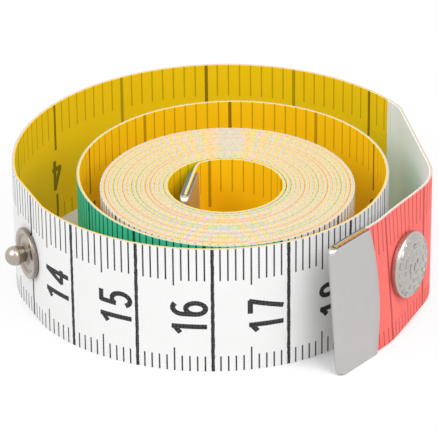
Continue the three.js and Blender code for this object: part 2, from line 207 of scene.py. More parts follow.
class SnapSizes(bpy.types.PropertyGroup):
    """Sizes of the snap fastener"""

    cap_diameter: size("Cap diameter", "Across the cap", 9)
    cap_height: size("Cap height", "From the tape to the top of the dome", 1.7)
    cap_rim: size("Cap rim", "Height of the cap's side", 0.6)
    post_diameter: size("Post diameter", "Post of the cap through the tape", 2.4)
    bar_width: size("Bar width", "Across a raised bar on the cap", 0.42)
    bar_height: size("Bar height", "How far the bars on the cap stand up", 0.08)
    bar_seed: IntProperty(name="Bar seed", description="Sets the bars' lengths", default=4, min=0)
    socket_diameter: size("Socket diameter", "Across the socket's brim", 8.6)
    socket_height: size("Socket height", "From the tape to the socket's mouth", 1.8)
    socket_wall: size("Socket wall", "Sheet thickness of the socket", 0.4)
    mouth_radius: size("Mouth radius", "Radius of the socket's mouth", 1.8)
    spring_wire: size("Spring wire", "Diameter of the spring's wire", 0.45)
    stud_diameter: size("Stud diameter", "Across the stud's flange", 7)
    stud_flange: size("Stud flange", "Height of the stud's flange", 0.7)
    ball_diameter: size("Ball diameter", "Across the stud's ball", 2.7)
    neck_diameter: size("Neck diameter", "Across the stud's neck", 2.1)
    tube_diameter: size("Tube diameter", "Across the eyelet's tube", 1.3)
    eyelet_diameter: size("Eyelet diameter", "Across the eyelet's flange", 6.4)
    eyelet_flange: size("Eyelet flange", "Thickness of the eyelet's flange", 0.4)
    wall: size("Wall", "Wall of the eyelet's tube", 0.3)


class Colours(bpy.types.PropertyGroup):
    """Colours of the finishes"""

    red: colour("Red", "Outer face, first ten centimetres", (0.93, 0.165, 0.145))
    white: colour("White", "Outer face, second and fourth ten centimetres", (0.775, 0.775, 0.775))
    green: colour("Green", "Outer face, third ten centimetres", (0.05, 0.58, 0.37))
    yellow: colour("Yellow", "Inner face", (1.0, 0.59, 0.004))
    # Painted light: a whiter white than the outer face's, to lift the lead, which stands in shade
    lead: colour("Lead", "Inner face, at its outer end", (0.92, 0.88, 0.86))
    ink: colour("Ink", "Lines and numbers", (0.008, 0.008, 0.009))
    core: colour("Core", "Cut edge of the woven core", (0.58, 0.54, 0.455))
    # Painted shade: the darker gold that the cut edge takes inside the outer tip, between its plates
    glue: colour("Glue", "Cut edge inside the outer tip", (0.42, 0.27, 0.05))
    nickel: colour("Nickel", "Bright plate of the snap", (0.52, 0.50, 0.475))
    stud: colour("Stud", "Worn plate of the stud", (0.47, 0.415, 0.36))
    tip_metal: colour("Tip metal", "Satin plate of the tips", (0.57, 0.555, 0.545))
    floor: colour("Floor", "Ground under the roll", (0.75, 0.75, 0.75))


class StageSettings(bpy.types.PropertyGroup):
    """Light, floor and camera"""

    sky: strength("Sky", "Strength of the light from all around", 0.62)
    key: strength("Key", "Power of the main lamp", 7.3, unit="POWER")
    fill: strength("Fill", "Power of the second lamp", 7.4, unit="POWER")
    floor_glow: strength("Floor glow", "Share of the floor that is white of itself", 0.88)
    floor_side: size("Floor side", "Length of the floor's side", 6000)
    distance: size("Distance", "From the camera to the point that it looks at", 475.16)
    elevation: turn_angle("Elevation", "Camera's angle above the floor", 28.08 * DEGREE)
    tilt: turn_angle("Tilt", "Camera's turn about its own axis", -0.0098)
    focal_length: size("Focal length", "Camera's focal length on a 36 mm sensor", 277.1)
    aim_x: side_shift("Aim X", "Picture's middle on the floor, from the coil's", -0.989)
    aim_y: side_shift("Aim Y", "Picture's middle on the floor, from the coil's", 24.159)


class TapeMeasureSettings(bpy.types.PropertyGroup):
    """All the settings of the tape measure"""

    tape: PointerProperty(type=TapeSizes)
    scale: PointerProperty(type=PrintSizes)
    tip: PointerProperty(type=TipSizes)
    snap: PointerProperty(type=SnapSizes)
    colours: PointerProperty(type=Colours)
    stage: PointerProperty(type=StageSettings)


# The line that the tape follows in plan


def swell(direction, lean, taper):
    """How far a loose turn stands off in a direction: 0 at the front, 1 where it is fullest."""
    return ((1 + np.cos(direction - lean)) / 2) ** taper


def wound_points(wound, turns):
    """Points of the winding at angles wound outward from the coil's outer end."""
    direction = FRONT_DIRECTION - wound
    outer_start = TURN - (OUTER_LEAN - SECOND_LEAN)
    second = SECOND_SLACK * swell(direction, SECOND_LEAN, SECOND_TAPER)
    outer = OUTER_SLACK * swell(direction, OUTER_LEAN, OUTER_TAPER)
    radius = BORE_RADIUS + CORE_THICKNESS / 2 + COIL_PITCH * (turns + wound / TURN)
    radius = radius + np.where(wound > 0, second, 0) + np.where(wound > outer_start, outer, 0)
    return np.stack([radius * np.cos(direction), radius * np.sin(direction)], axis=1)


def free_end_points(start, heading):
    """Points of the free end: three bends, each followed by a straight run."""
    tip_run = CAP_STATION - CAP_FLAT / 2 - TIP_BEND_RADIUS * (CAP_HEADING - TIP_HEADING)
    bends = [
        (CORNER_RADIUS, SIDE_HEADING, SIDE_RUN),
        (ELBOW_RADIUS, CAP_HEADING, CAP_FLAT),
        (TIP_BEND_RADIUS, TIP_HEADING, tip_run),
    ]
    headings = []
    lengths = []
    for radius, target, run in bends:
        steps = math.ceil((heading - target) / TURN * WINDING_STEPS)
        turn = (heading - target) / steps
        headings += [heading - turn * (k + 0.5) for k in range(steps)] + [target]
        lengths += [radius * turn] * steps + [run]
        heading = target
    strides = np.array(lengths)[:, None] * np.stack([np.cos(headings), np.sin(headings)], axis=1)
    return start + np.cumsum(strides, axis=0)


def winding_line(turns):
    """Points from the coil's inner end to the outer tip, their stations, and the wound ones' angles."""
    end = 2 * TURN - (CORNER_DIRECTION - FRONT_DIRECTION)
    step = TURN / WINDING_STEPS
    wound = np.append(np.arange(-turns * TURN, end, step), end)
    before, last = wound_points(np.array([end - step, end]), turns)
    heading = math.atan2(last[1] - before[1], last[0] - before[0]) % TURN - TURN
    points = np.vstack([wound_points(wound, turns), free_end_points(last, heading)])
    strides = np.linalg.norm(np.diff(points, axis=0), axis=1)
    stations = np.append(np.cumsum(strides[::-1])[::-1], 0)
    return points, stations, wound


def coil_turns():
    """As many turns in the coil as use up the tape's length."""
    few, many, near_enough = 1.0, 60.0, 1e-6
    while many - few > near_enough:
        turns = (few + many) / 2
        if winding_line(turns)[1][0] < INNER_HINGE:
            few = turns
        else:
            many = turns
    return few


def inner_tip_point(hinge):
    """The outside of the inner tip: the inner end leans across the bore until it is near the coil again."""
    radius = np.linalg.norm(hinge)
    reach = radius**2 + INNER_END_LENGTH**2 - INNER_TIP_RADIUS**2
    lean = math.asin(reach / (2 * radius * INNER_END_LENGTH))
    heading = math.atan2(hinge[1], hinge[0]) + TURN / 4 + lean
    return hinge + INNER_END_LENGTH * np.array([math.cos(heading), math.sin(heading)])


class TapeLine:
    """The tape's middle line in the frame. A station is the distance along it from the outer tip."""

    def __init__(self):
        points, stations, wound = winding_line(coil_turns())
        self.coil_start = stations[np.searchsorted(wound, 0)]
        self.second_start = stations[np.searchsorted(wound, TURN)]
        loose = np.abs(stations - STUD_STATION) > STUD_FLAT / 2
        points = np.vstack([points[loose][::-1], inner_tip_point(points[0])])
        stations = np.append(stations[loose][::-1], TAPE_LENGTH)
        hinge = next(joint["pos_m"] for joint in frame["joints"] if joint["name"] == "unroll_06")
        self.centre = np.array(hinge[:2]) - self.between(CHAIN_STATION, stations, points)
        self.stations = np.arange(0, TAPE_LENGTH + LINE_STEP / 2, LINE_STEP)
        self.points = self.between(self.stations, stations, points) + self.centre
        for _ in range(SMOOTHING_PASSES):
            neighbours = self.points[:-2] + self.points[2:]
            self.points[1:-1] = (neighbours + 2 * self.points[1:-1]) / 4
        along = np.gradient(self.points, axis=0)
        along /= np.linalg.norm(along, axis=1)[:, None]
        self.outward = np.stack([along[:, 1], -along[:, 0]], axis=1)

    @staticmethod
    def between(wanted, stations, values):
        return np.stack([np.interp(wanted, stations, values[:, k]) for k in (0, 1)], axis=-1)

    def at(self, wanted):
        """Points in plan and the outer face's normals at some stations."""
        outward = self.between(wanted, self.stations, self.outward)
        outward /= np.linalg.norm(outward, axis=-1, keepdims=True)
        return self.between(wanted, self.stations, self.points), outward

    def middle(self, station, tape):
        """The point of the tape at a station, at half its width."""
        point, _ = self.at(station)
        return (*point, tape.width / 2)


line = TapeLine()


def lean_at(station):
    """How far the lower edge stands out past the upper one: the end is upright at its hinge."""
    start = CAP_STATION - CAP_FLAT / 2
    share = np.clip((station - start) / (END_HINGE - start), 0, 1)
    return END_LEAN * (1 - share**2 * (3 - 2 * share))


# The print, laid out flat in millimetres as outlines of (station, height) points


def arc(x, y, across, up, first, last):
    """Points of an elliptical arc between two angles in degrees."""
    stride = 20
    steps = max(2, math.ceil(abs(last - first) / stride))
    angles = [math.radians(first + (last - first) * k / steps) for k in range(steps + 1)]
    return [(x + across * math.cos(a), y + up * math.sin(a)) for a in angles]


def bowl(x, y, across, up, first):
    """A closed ellipse in two strokes, whose ends overlap by a few degrees."""
    lap = 4
    return [arc(x, y, across, up, first + turn - lap, first + turn + 180 + lap) for turn in (0, 180)]


HALF_MM = 5
WHOLE_MM = 10
NUMBER_REACH_MM = 7  # how far back from its line a number may begin
FIRST_NUMBER_MM = 20  # the tip covers the place of the first centimetre's number
ROUND = 0.206  # height of a half circle as wide as a digit, as a share of the digit's height
SIX = [*bowl(0.5, 0.3, 0.5, 0.3, 90), [(0, 0.3), *arc(0.55, 0.72, 0.55, 0.28, 180, 48)]]
DIGITS = {
    "0": [
        arc(0.5, 1 - ROUND, 0.5, ROUND, 86, 180) + arc(0.5, ROUND, 0.5, ROUND, 180, 274),
        arc(0.5, ROUND, 0.5, ROUND, 266, 360) + arc(0.5, 1 - ROUND, 0.5, ROUND, 0, 94),
    ],
    "1": [[(0.62, 0), (0.62, 1)], [(0.62, 0.96), (0.12, 0.8)]],
    "2": [[*arc(0.5, 1 - ROUND, 0.5, ROUND, 165, -35), (0, 0)], [(0, 0), (1, 0)]],
    "3": [arc(0.48, 0.76, 0.46, 0.24, 150, -90), arc(0.48, 0.26, 0.52, 0.26, 94, -150)],
    "4": [[(0.74, 1), (0.74, 0)], [(0.7, 0.96), (0, 0.3)], [(0, 0.28), (1, 0.28)]],
    "5": [[(0.92, 1), (0.1, 1)], [(0.12, 1), (0.06, 0.52)], arc(0.46, 0.31, 0.54, 0.31, 140, -150)],
    "6": SIX,
    "7": [[(0, 1), (1, 1)], [(1, 1), (0.32, 0)]],
    "8": [*bowl(0.5, 0.765, 0.44, 0.235, 60), *bowl(0.5, 0.265, 0.5, 0.265, 120)],
    "9": [[(1 - x, 1 - y) for x, y in stroke] for stroke in SIX],
}


def band(points, width):
    """The outline of a stroke of some width along a row of points. A straight one is a little longer."""
    points = np.array(points, float)
    along = np.gradient(points, axis=0)
    along /= np.linalg.norm(along, axis=1)[:, None]
    if len(points) == 2:
        points = points + np.outer([-width / 4, width / 4], along[0])
    side = np.stack([-along[:, 1], along[:, 0]], axis=1) * width / 2
    return [tuple(p) for p in np.vstack([points + side, (points - side)[::-1]])]


def number_outlines(number, sizes):
    """Outlines of a number's strokes, from its lower left corner, and the number's whole width."""
    stroke = sizes.stroke / MM
    across = sizes.digit_width / MM - stroke
    up = sizes.digit_height / MM - stroke
    advance = (sizes.digit_width + sizes.digit_space) / MM
    outlines = []
    for place, digit in enumerate(str(number)):
        for points in DIGITS[digit]:
            scaled = [(place * advance + stroke / 2 + x * across, stroke / 2 + y * up) for x, y in points]
            outlines.append(band(scaled, stroke))
    return outlines, len(str(number)) * advance - sizes.digit_space / MM


def cross_line(station, width, low, high):
    """A plain line across the tape."""
    left, right = station - width / 2, station + width / 2
    return [(left, low), (right, low), (right, high), (left, high)]


def ragged_line(station, width, low, high, ragged, yarn):
    """A line across the tape whose sides step in and out with the yarns."""
    draw = np.random.default_rng(round(station))
    heights = np.linspace(low, high, max(2, round((high - low) / yarn)))
    steps = draw.uniform(-ragged, ragged, (2, len(heights)))
    steps[:, [0, -1]] = 0
    left = [(station - width / 2 + step, height) for step, height in zip(steps[0], heights)]
    right = [(station + width / 2 + step, height) for step, height in zip(steps[1], heights)]
    return left + right[::-1]


def centimetre_print(first, last, low, high, settings):
    """The outer face's scale, as outlines with their shares of ink: ticks, centimetre lines and numbers."""
    sizes = settings.scale
    width = sizes.tick_width / MM
    level = sizes.digit_level / MM
    ragged, yarn = sizes.ragged / MM, settings.tape.yarn / MM
    outlines = []
    for mark in range(math.floor(first), math.ceil(last) + NUMBER_REACH_MM):
        half = mark % HALF_MM == 0
        if mark % WHOLE_MM == 0:
            outlines.append(ragged_line(mark, sizes.line_width / MM, low, high, ragged, yarn))
            if mark >= FIRST_NUMBER_MM:
                strokes, whole = number_outlines(mark // WHOLE_MM, sizes)
                foot = mark - sizes.digit_offset / MM
                outlines += [[(foot - y, level + x - whole / 2) for x, y in stroke] for stroke in strokes]
        else:
            upper = (sizes.upper_half if half else sizes.upper_tick) / MM
            lower = (sizes.lower_half if half else sizes.lower_tick) / MM
            outlines.append(cross_line(mark, width, high - upper, high))
            outlines.append(cross_line(mark, width, low, low + lower))
    return [(outline, 1.0) for outline in outlines]


WHOLE_INCH_INK = 1.0  # how densely the inner face's marks are inked
HALF_INCH_INK = 0.7
TICK_INK = 0.55


def inch_print(first, last, low, high, settings):
    """The inner face's scale: sixteenth ticks, half-inch and inch lines, and numbers head down."""
    sizes = settings.scale
    sixteenth = INCH / MM / INCH_PARTS
    level = sizes.inch_level / MM
    marks = []
    for mark in range(math.floor(first / sixteenth), math.ceil(last / sixteenth) + 2):
        station = mark * sixteenth
        half, whole_inch = mark % (INCH_PARTS // 2) == 0, mark % INCH_PARTS == 0
        share = WHOLE_INCH_INK if whole_inch else HALF_INCH_INK if half else TICK_INK
        width = (sizes.line_width if half else sizes.tick_width) / MM
        upper = (sizes.inch_line if half else sizes.inch_tick) / MM
        lower = (sizes.inch_foot if whole_inch else sizes.lower_tick) / MM
        marks.append((cross_line(station, width, high - upper, high), share))
        marks.append((cross_line(station, width, low, low + lower), share))
        if whole_inch:
            strokes, whole = number_outlines(mark // INCH_PARTS, sizes)
            for stroke in strokes:
                marks.append(([(station + x - whole / 2, level - y) for x, y in stroke], share))
    return marks


def clipped(outline, limit, side):
    """The part of an outline on one side of a station: side is 1 for what lies past it."""
    kept = []
    for (s, h), (t, k) in zip(outline, outline[1:] + outline[:1]):
        inside = side * (s - limit) >= 0
        if inside:
            kept.append((s, h))
        if inside != (side * (t - limit) >= 0):
            kept.append((limit, h + (k - h) * (limit - s) / (t - s)))
    return kept


def doubled_area(outline):
    """Twice an outline's area, negative where its inside is on the right."""
    return sum(s * k - t * h for (s, h), (t, k) in zip(outline, outline[1:] + outline[:1]))


def print_between(maker, first, last, low, high, settings):
    """The marks of a scale between two stations, counted from the first one."""
    marks = []
    for outline, share in maker(first, last, low, high, settings):
        kept = clipped(clipped(outline, first, 1), last, -1)
        area = doubled_area(kept)
        if abs(area) > SLIVER_MM2:
            marks.append(([(s - first, h) for s, h in kept][:: 1 if area > 0 else -1], share))
    return marks


# The strip of tape


def cut_face(stations, columns, low, high, marks):
    """Cuts a flat face along its print: its (station, height) points, its triangles and their ink."""
    points = [Vector((s, h)) for h in (low, high) for s in stations]
    count = len(stations)
    edges = [(row + k, row + k + 1) for row in (0, count) for k in range(count - 1)]
    edges += [(k, count + k) for k, s in enumerate(stations) if s in columns]
    faces = []
    for outline, _ in marks:
        faces.append(range(len(points), len(points) + len(outline)))
        points += [Vector(point) for point in outline]
    made, _, triangles, _, _, sources = delaunay_2d_cdt(points, edges, faces, 0, MERGE_MM)
    flat = np.array([tuple(point) for point in made])
    inked = [max((marks[k][1] for k in source), default=0.0) for source in sources]
    inside = [triangle for triangle, ink in zip(triangles, inked) if ink]
    covered = sum(doubled_area([tuple(flat[k]) for k in triangle]) for triangle in inside)
    if covered > MOST_INK * sum(doubled_area(outline) for outline, _ in marks):
        raise ValueError("the ink runs out of its outlines")
    return flat, triangles, inked


def on_edge(flat, axis, value, order):
    """The points of a cut face that lie on one of its edges, in order along it."""
    found = np.flatnonzero(np.abs(flat[:, axis] - value) < 2 * MERGE_MM)
    return found[np.argsort(flat[found, order])]


def fullness(stations, tape):
    """How thick the tape is, as a multiple of its loose thickness: the coil's turns fill their room."""
    rise = (stations - line.coil_start) / SPREAD_RUN + 0.5
    fall = (INNER_HINGE - INNER_BEND_IN - stations) / SPREAD_RUN
    return 1 + (tape.wound_thickness / tape.thickness - 1) * np.clip(np.minimum(rise, fall), 0, 1)


class TapeStrip:
    """Builds one closed length of tape between two stations, printed where it shows."""

    OUTER, INNER, CORE = range(3)  # material slots

    def __init__(self, settings, first, last, printed_outside, printed_inside):
        self.tape = settings.tape
        self.first = first
        self.zero = settings.scale.zero / MM
        self.low = self.tape.edge_round / MM
        self.high = (self.tape.width - self.tape.edge_round) / MM
        self.length = (last - first) / MM
        self.positions = []
        self.flat = []
        self.faces = []
        self.slots = []
        self.inks = []
        self.cuts = []
        self.build(settings, printed_outside, printed_inside)

    def build(self, settings, printed_outside, printed_inside):
        prints = [
            self.marks(centimetre_print, printed_outside, settings),
            self.marks(inch_print, printed_inside, settings),
        ]
        start = self.first / MM - self.zero
        between_ticks = np.arange(math.floor(start) + 1.5, start + self.length, COLUMN_MM) - start
        columns = [0.0, *between_ticks[between_ticks < self.length - MERGE_MM], self.length]
        ends = {s for marks in prints for o, _ in marks for s, h in o if h <= self.low or h >= self.high}
        stations = []
        for s in sorted({*columns, *ends}):
            if not stations or s - stations[-1] > MERGE_MM:
                stations.append(s)
        half = self.tape.thickness / 2
        rims = []
        for side, marks, slot in ((1, prints[0], self.OUTER), (-1, prints[1], self.INNER)):
            flat, triangles, inked = cut_face(stations, set(columns), self.low, self.high, marks)
            base = self.add_points(flat, side * half)
            for triangle, ink in zip(triangles, inked):
                corners = [base + corner for corner in triangle]
                self.add_face(corners if side > 0 else corners[::-1], slot, ink)
            rims.append({
                "lower": base + on_edge(flat, 1, self.low, 0),
                "upper": base + on_edge(flat, 1, self.high, 0),
                "start": base + on_edge(flat, 0, 0, 1),
                "end": base + on_edge(flat, 0, self.length, 1),
            })
        upper = self.add_edge(rims, "upper", stations, self.tape.width / MM, 1)
        lower = self.add_edge(rims, "lower", stations, 0, -1)
        self.add_end(rims, "start", upper, lower, 0)
        self.add_end(rims, "end", upper, lower, -1)

    def marks(self, maker, printed, settings):
        """A scale's marks on the printed stretches of this strip."""
        start = self.first / MM
        made = []
        for first, last in printed:
            skipped = max(first / MM, start) - start
            stretch = (start + skipped - self.zero, min(last / MM, start + self.length) - self.zero)
            if stretch[1] > stretch[0]:
                for outline, share in print_between(maker, *stretch, self.low, self.high, settings):
                    made.append(([(s + skipped, h) for s, h in outline], share))
        return made

    def add_points(self, flat, offset):
        """Adds points of a face or an edge, at an offset from the middle line. Gives the first's number."""
        stations = self.first + flat[:, 0] * MM
        points, outward = line.at(stations)
        shift = offset * fullness(stations, self.tape)
        shift += lean_at(stations) * (0.5 - flat[:, 1] * MM / self.tape.width)
        plan = points + outward * shift[:, None]
        base = len(self.flat)
        self.positions += np.column_stack([plan, flat[:, 1] * MM]).tolist()
        self.flat += (flat * MM + [self.first - self.zero * MM, 0]).tolist()
        return base

    def add_face(self, corners, slot, ink=0.0, cut=False):
        self.faces.append([int(corner) for corner in corners])
        self.slots.append(slot)
        self.inks.append(float(ink))
        self.cuts.append(float(cut))

    def add_edge(self, rims, edge, stations, height, up):
        """The cut edge between the two faces: bevel, outer coat, core, inner coat and bevel."""
        tape = self.tape
        half = tape.thickness / 2
        outside = [half - tape.edge_round, half - tape.outer_coat]
        inside = [tape.inner_coat - half, tape.edge_round - half]
        rows = [rims[0][edge]]
        flat = np.column_stack([stations, np.full(len(stations), height)])
        for offset in outside + inside:
            rows.append(self.add_points(flat, offset) + np.arange(len(stations)))
        rows.append(rims[1][edge])
        slots = [self.OUTER, self.OUTER, self.CORE, self.INNER, self.INNER]
        if len({len(row) for row in rows}) > 1:
            raise ValueError(f"the faces' {edge} edges have {[len(row) for row in rows]} points")
        for near, far, slot in zip(rows, rows[1:], slots):
            for k in range(len(stations) - 1):
                corners = [far[k], near[k], near[k + 1], far[k + 1]]
                self.add_face(corners[::up], slot, cut=True)
        return rows[1:-1]

    def add_end(self, rims, end, upper, lower, k):
        """Closes the strip at its start or its end."""
        over = [row[k] for row in upper]
        under = [row[k] for row in lower]
        loop = [*rims[0][end], *over, *rims[1][end][::-1], *under[::-1]]
        self.add_face(loop if end == "end" else loop[::-1], self.CORE)

    def piece(self, name, materials):
        mesh = bpy.data.meshes.new(name)
        mesh.from_pydata(self.positions, [], self.faces)
        mesh.polygons.foreach_set("material_index", self.slots)
        for attribute, values in (("ink", self.inks), ("cut", self.cuts)):
            mesh.attributes.new(attribute, "FLOAT", "FACE").data.foreach_set("value", values)
        corners = np.empty(len(mesh.loops), int)
        mesh.loops.foreach_get("vertex_index", corners)
        scale = mesh.uv_layers.new(name="scale")
        scale.data.foreach_set("uv", np.array(self.flat)[corners].ravel())
        return finished(name, mesh, materials)


def finished(name, mesh, materials):
    """An object with its materials, smooth but for its sharp edges."""
    for material in materials:
        mesh.materials.append(material)
    mesh.validate()
    mesh.shade_smooth()
    mesh.set_sharp_from_angle(angle=SHARP_ANGLE)
    piece = bpy.data.objects.new(name, mesh)
    bpy.context.scene.collection.objects.link(piece)
    return piece


# Turned and folded metal


def metal_mesh(name, positions, faces, soiled_and_shaded, material):
    """A metal piece, with how dark the painted shade on it is at each point."""
    mesh = bpy.data.meshes.new(name)
    mesh.from_pydata(positions, [], faces)
    mesh.attributes.new("soil", "FLOAT", "POINT").data.foreach_set("value", soiled_and_shaded)
    return finished(name, mesh, [material])


MOST_OF_SIDE = 0.45  # how much of a side a rounded corner may take


def eased(profile, closed, radius):
    """Rounds the corners of a profile."""
    count = len(profile)
    eased_profile = []
    for k, point in enumerate(profile):
        if not closed and k in (0, count - 1):
            eased_profile.append(Vector(point))
            continue
        here, before, after = Vector(point), Vector(profile[k - 1]), Vector(profile[(k + 1) % count])
        start, end = (
            here + (there - here).normalized() * min(radius, (there - here).length * MOST_OF_SIDE)
            for there in (before, after)
        )
        for share in (0, 0.25, 0.5, 0.75, 1):
            eased_profile.append(start.lerp(here, share).lerp(here.lerp(end, share), share))
    return eased_profile


def seat_matrix(station, tape):
    """Local X along the tape, Y up and Z out of its outer face, at half its width."""
    point, outward = line.at(station)
    normal = Vector((*outward, 0))
    up = Vector((0, 0, 1))
    along = up.cross(normal)
    turn = Matrix((along, up, normal)).transposed().to_4x4()
    lean = Matrix.Identity(4)
    lean[2][1] = -lean_at(station) / tape.width
    return Matrix.Translation((*point, tape.width / 2)) @ turn @ lean


def turned(name, profile, closed, steps, place, material, relief=None, soil=None):
    """A body turned about its local Z axis from (radius, height) points. Relief adds to the height at a
    (radius, angle), and the painted shade's function says how dark the metal is at a (radius, angle,
    height)."""
    rings = []
    positions = []
    soiled_and_shaded = []
    for radius, height in profile:
        count = steps if radius > 0 else 1
        rings.append([len(positions) + k % count for k in range(steps)])
        for k in range(count):
            angle = TURN * k / steps
            raised = height + (relief(radius, angle) if relief else 0)
            positions.append(place @ Vector((radius * math.cos(angle), radius * math.sin(angle), raised)))
            soiled_and_shaded.append(soil(radius, angle, height) if soil else 0.0)
    faces = []
    for near, far in zip(rings, rings[1:] + ([rings[0]] if closed else [])):
        for k in range(steps):
            corners = [near[k], near[(k + 1) % steps], far[(k + 1) % steps], far[k]]
            faces.append(list(dict.fromkeys(corners)))
    return metal_mesh(name, positions, [face for face in faces if len(face) > 2], soiled_and_shaded, material)


def spring_ring(name, radius, wire, opening, height, place, material):
    """A split ring of round wire about the local Z axis."""
    along_steps, round_steps = 72, 12
    positions = []
    for k in range(along_steps + 1):
        angle = opening / 2 + (TURN - opening) * k / along_steps
        for j in range(round_steps):
            turn = TURN * j / round_steps
            reach = radius + wire / 2 * math.cos(turn)
            level = height + wire / 2 * math.sin(turn)
            positions.append(place @ Vector((reach * math.cos(angle), reach * math.sin(angle), level)))
    faces = []
    for k in range(along_steps):
        for j in range(round_steps):
            i = (j + 1) % round_steps
            row, after = k * round_steps, (k + 1) * round_steps
            faces.append([row + j, after + j, after + i, row + i])
    last = along_steps * round_steps
    faces.append(list(range(round_steps)))
    faces.append(list(range(last, last + round_steps))[::-1])
    return metal_mesh(name, positions, faces, [0.0] * len(positions), material)


def tip_section(height, shrink, tip, tape):
    """The folded sheet's two sides, cut at a height from its middle, as (along, across) points."""
    half_width = tape.width / 2
    bow = (half_width**2 + tip.bulge**2) / (2 * tip.bulge)
    edge = tip.length + tip.bulge - bow + math.sqrt(bow**2 - height**2) - shrink
    past = max(0, abs(height) - (half_width - tip.corner))
    fold = tip.corner - math.sqrt(max(0, tip.corner**2 - past**2)) + shrink
    outside, inside = SEAT + SHEET_THICKNESS - shrink, SEAT + shrink
    middle = SEAT + SHEET_THICKNESS + fold
    rounding = tip.bevel - shrink
    bend_steps = 16
    bend = [TURN / 4 + TURN / 2 * k / bend_steps for k in range(bend_steps + 1)]
    sides = []
    for radius, lip in ((outside, outside - rounding), (inside, inside + rounding)):
        # The rounded edge of a plate, the plate, the fold, and the same again on the other face
        half = [(edge, lip), (edge - rounding * 0.3, (lip + radius * 2) / 3), (edge - rounding, radius)]
        half += [(middle + (edge - middle) * k / 4, radius) for k in (3, 2, 1)]
        bent = [(middle + radius * math.cos(a), radius * math.sin(a)) for a in bend]
        sides.append(half + bent + [(x, -y) for x, y in half[::-1]])
    return sides


TIP_EDGE_SHADE = 0.75  # painted shade on the cut edges of the sheet


def folded_tip(name, place, tip, tape, material):
    """A tip of folded sheet: local X runs from the fold along the plates, and Y across the tape's faces."""
    half_width = tape.width / 2
    flat_rows, round_rows = 13, 6
    flats = np.linspace(-(half_width - tip.corner), half_width - tip.corner, flat_rows)
    rounds = [1 - math.sin(TURN / 4 * k / round_rows) for k in range(1, round_rows + 1)]
    curve = [half_width - tip.bevel - (tip.corner - tip.bevel) * share for share in rounds]
    levels = [*[-z for z in curve[::-1]], *flats, *curve]
    rows = [(z, 0) for z in levels]
    rows = [(-half_width, tip.bevel), *rows, (half_width, tip.bevel)]
    positions = []
    soiled_and_shaded = []
    for height, shrink in rows:
        outer, inner = tip_section(height, shrink, tip, tape)
        positions += [place @ Vector((x, y, height)) for x, y in outer + inner[::-1]]
        # Painted shade along the sheet's upper and lower cut edges
        soiled_and_shaded += [TIP_EDGE_SHADE if shrink else 0.0] * (2 * len(outer))
    ring = len(outer) * 2
    faces = []
    for row in range(len(rows) - 1):
        for k in range(ring):
            i = (k + 1) % ring
            a, b = row * ring, (row + 1) * ring
            faces.append([a + i, a + k, b + k, b + i])
    top = (len(rows) - 1) * ring
    for k in range(len(outer) - 1):
        far = ring - 1 - k
        faces.append([k, k + 1, far - 1, far])
        faces.append([top + far, top + far - 1, top + k + 1, top + k])
    return metal_mesh(name, positions, faces, soiled_and_shaded, material)


# Finishes


WHITE = (1, 1, 1, 1)
BLACK = (0, 0, 0, 1)


def add_node(tree, kind, inputs=None, **settings):
    """Adds a node. Each input is a value, or the output socket that feeds it."""
    node = tree.nodes.new(kind)
    for key, value in settings.items():
        setattr(node, key, value)
    for key, value in (inputs or {}).items():
        if isinstance(value, bpy.types.NodeSocket):
            tree.links.new(value, node.inputs[key])
        else:
            node.inputs[key].default_value = value
    return node


def math_node(tree, operation, first, second=0.0):
    return add_node(tree, "ShaderNodeMath", {0: first, 1: second}, operation=operation).outputs[0]


def mix_colours(tree, factor, first, second, blend="MIX"):
    settings = {"data_type": "RGBA", "blend_type": blend}
    return add_node(tree, "ShaderNodeMix", {0: factor, 6: first, 7: second}, **settings).outputs[2]


def opaque(rgb):
    return (*rgb, 1)


def shade(rgb, factor):
    return (*(channel * factor for channel in rgb), 1)


def new_group(name, inputs, outputs):
    """A shader node group with its sockets. Gives the tree and its two end nodes."""
    group = bpy.data.node_groups.new(name, "ShaderNodeTree")
    for socket, kind, default in inputs:
        made = group.interface.new_socket(socket, in_out="INPUT", socket_type=kind)
        if default is not None:
            made.default_value = default
    for socket, kind in outputs:
        group.interface.new_socket(socket, in_out="OUTPUT", socket_type=kind)
    return group, group.nodes.new("NodeGroupInput"), group.nodes.new("NodeGroupOutput")


WANDER_SCALE = 0.35  # of the yarns' drift, for each yarn
HOLLOW_SHARPNESS = 0.6
SCRATCH_STRETCH = (1, 1, 0.06)


def weave_group():
    """Plain weave under a coat: its height, and a mask of the small hollows between the yarns."""
    name = "coated weave"
    if name in bpy.data.node_groups:
        return bpy.data.node_groups[name]
    floats = "NodeSocketFloat"
    group, given, result = new_group(
        name,
        [("Place", "NodeSocketVector", None), ("Yarn", floats, 0.4 * MM), ("Unevenness", floats, 0.3)],
        [("Height", floats), ("Hollow", floats)],
    )
    scaled = add_node(group, "ShaderNodeVectorMath", {0: given.outputs["Place"]}, operation="SCALE")
    group.links.new(math_node(group, "DIVIDE", 1.0, given.outputs["Yarn"]), scaled.inputs["Scale"])
    wander = {"Vector": scaled.outputs[0], "Scale": WANDER_SCALE, "Detail": 2.0}
    noise = add_node(group, "ShaderNodeTexNoise", wander)
    drift = math_node(group, "MULTIPLY", noise.outputs["Fac"], given.outputs["Unevenness"])
    axes = add_node(group, "ShaderNodeSeparateXYZ", {0: scaled.outputs[0]})
    waves = []
    for axis in ("X", "Y"):
        moved = math_node(group, "ADD", axes.outputs[axis], drift)
        waves.append(math_node(group, "SINE", math_node(group, "MULTIPLY", moved, math.pi)))
    crossing = math_node(group, "MULTIPLY", *waves)
    group.links.new(math_node(group, "MULTIPLY", crossing, crossing), result.inputs["Height"])
    gaps = [math_node(group, "SUBTRACT", 1.0, math_node(group, "ABSOLUTE", wave)) for wave in waves]
    hollow = math_node(group, "POWER", math_node(group, "MULTIPLY", *gaps), HOLLOW_SHARPNESS)
    group.links.new(hollow, result.inputs["Hollow"])
    return group


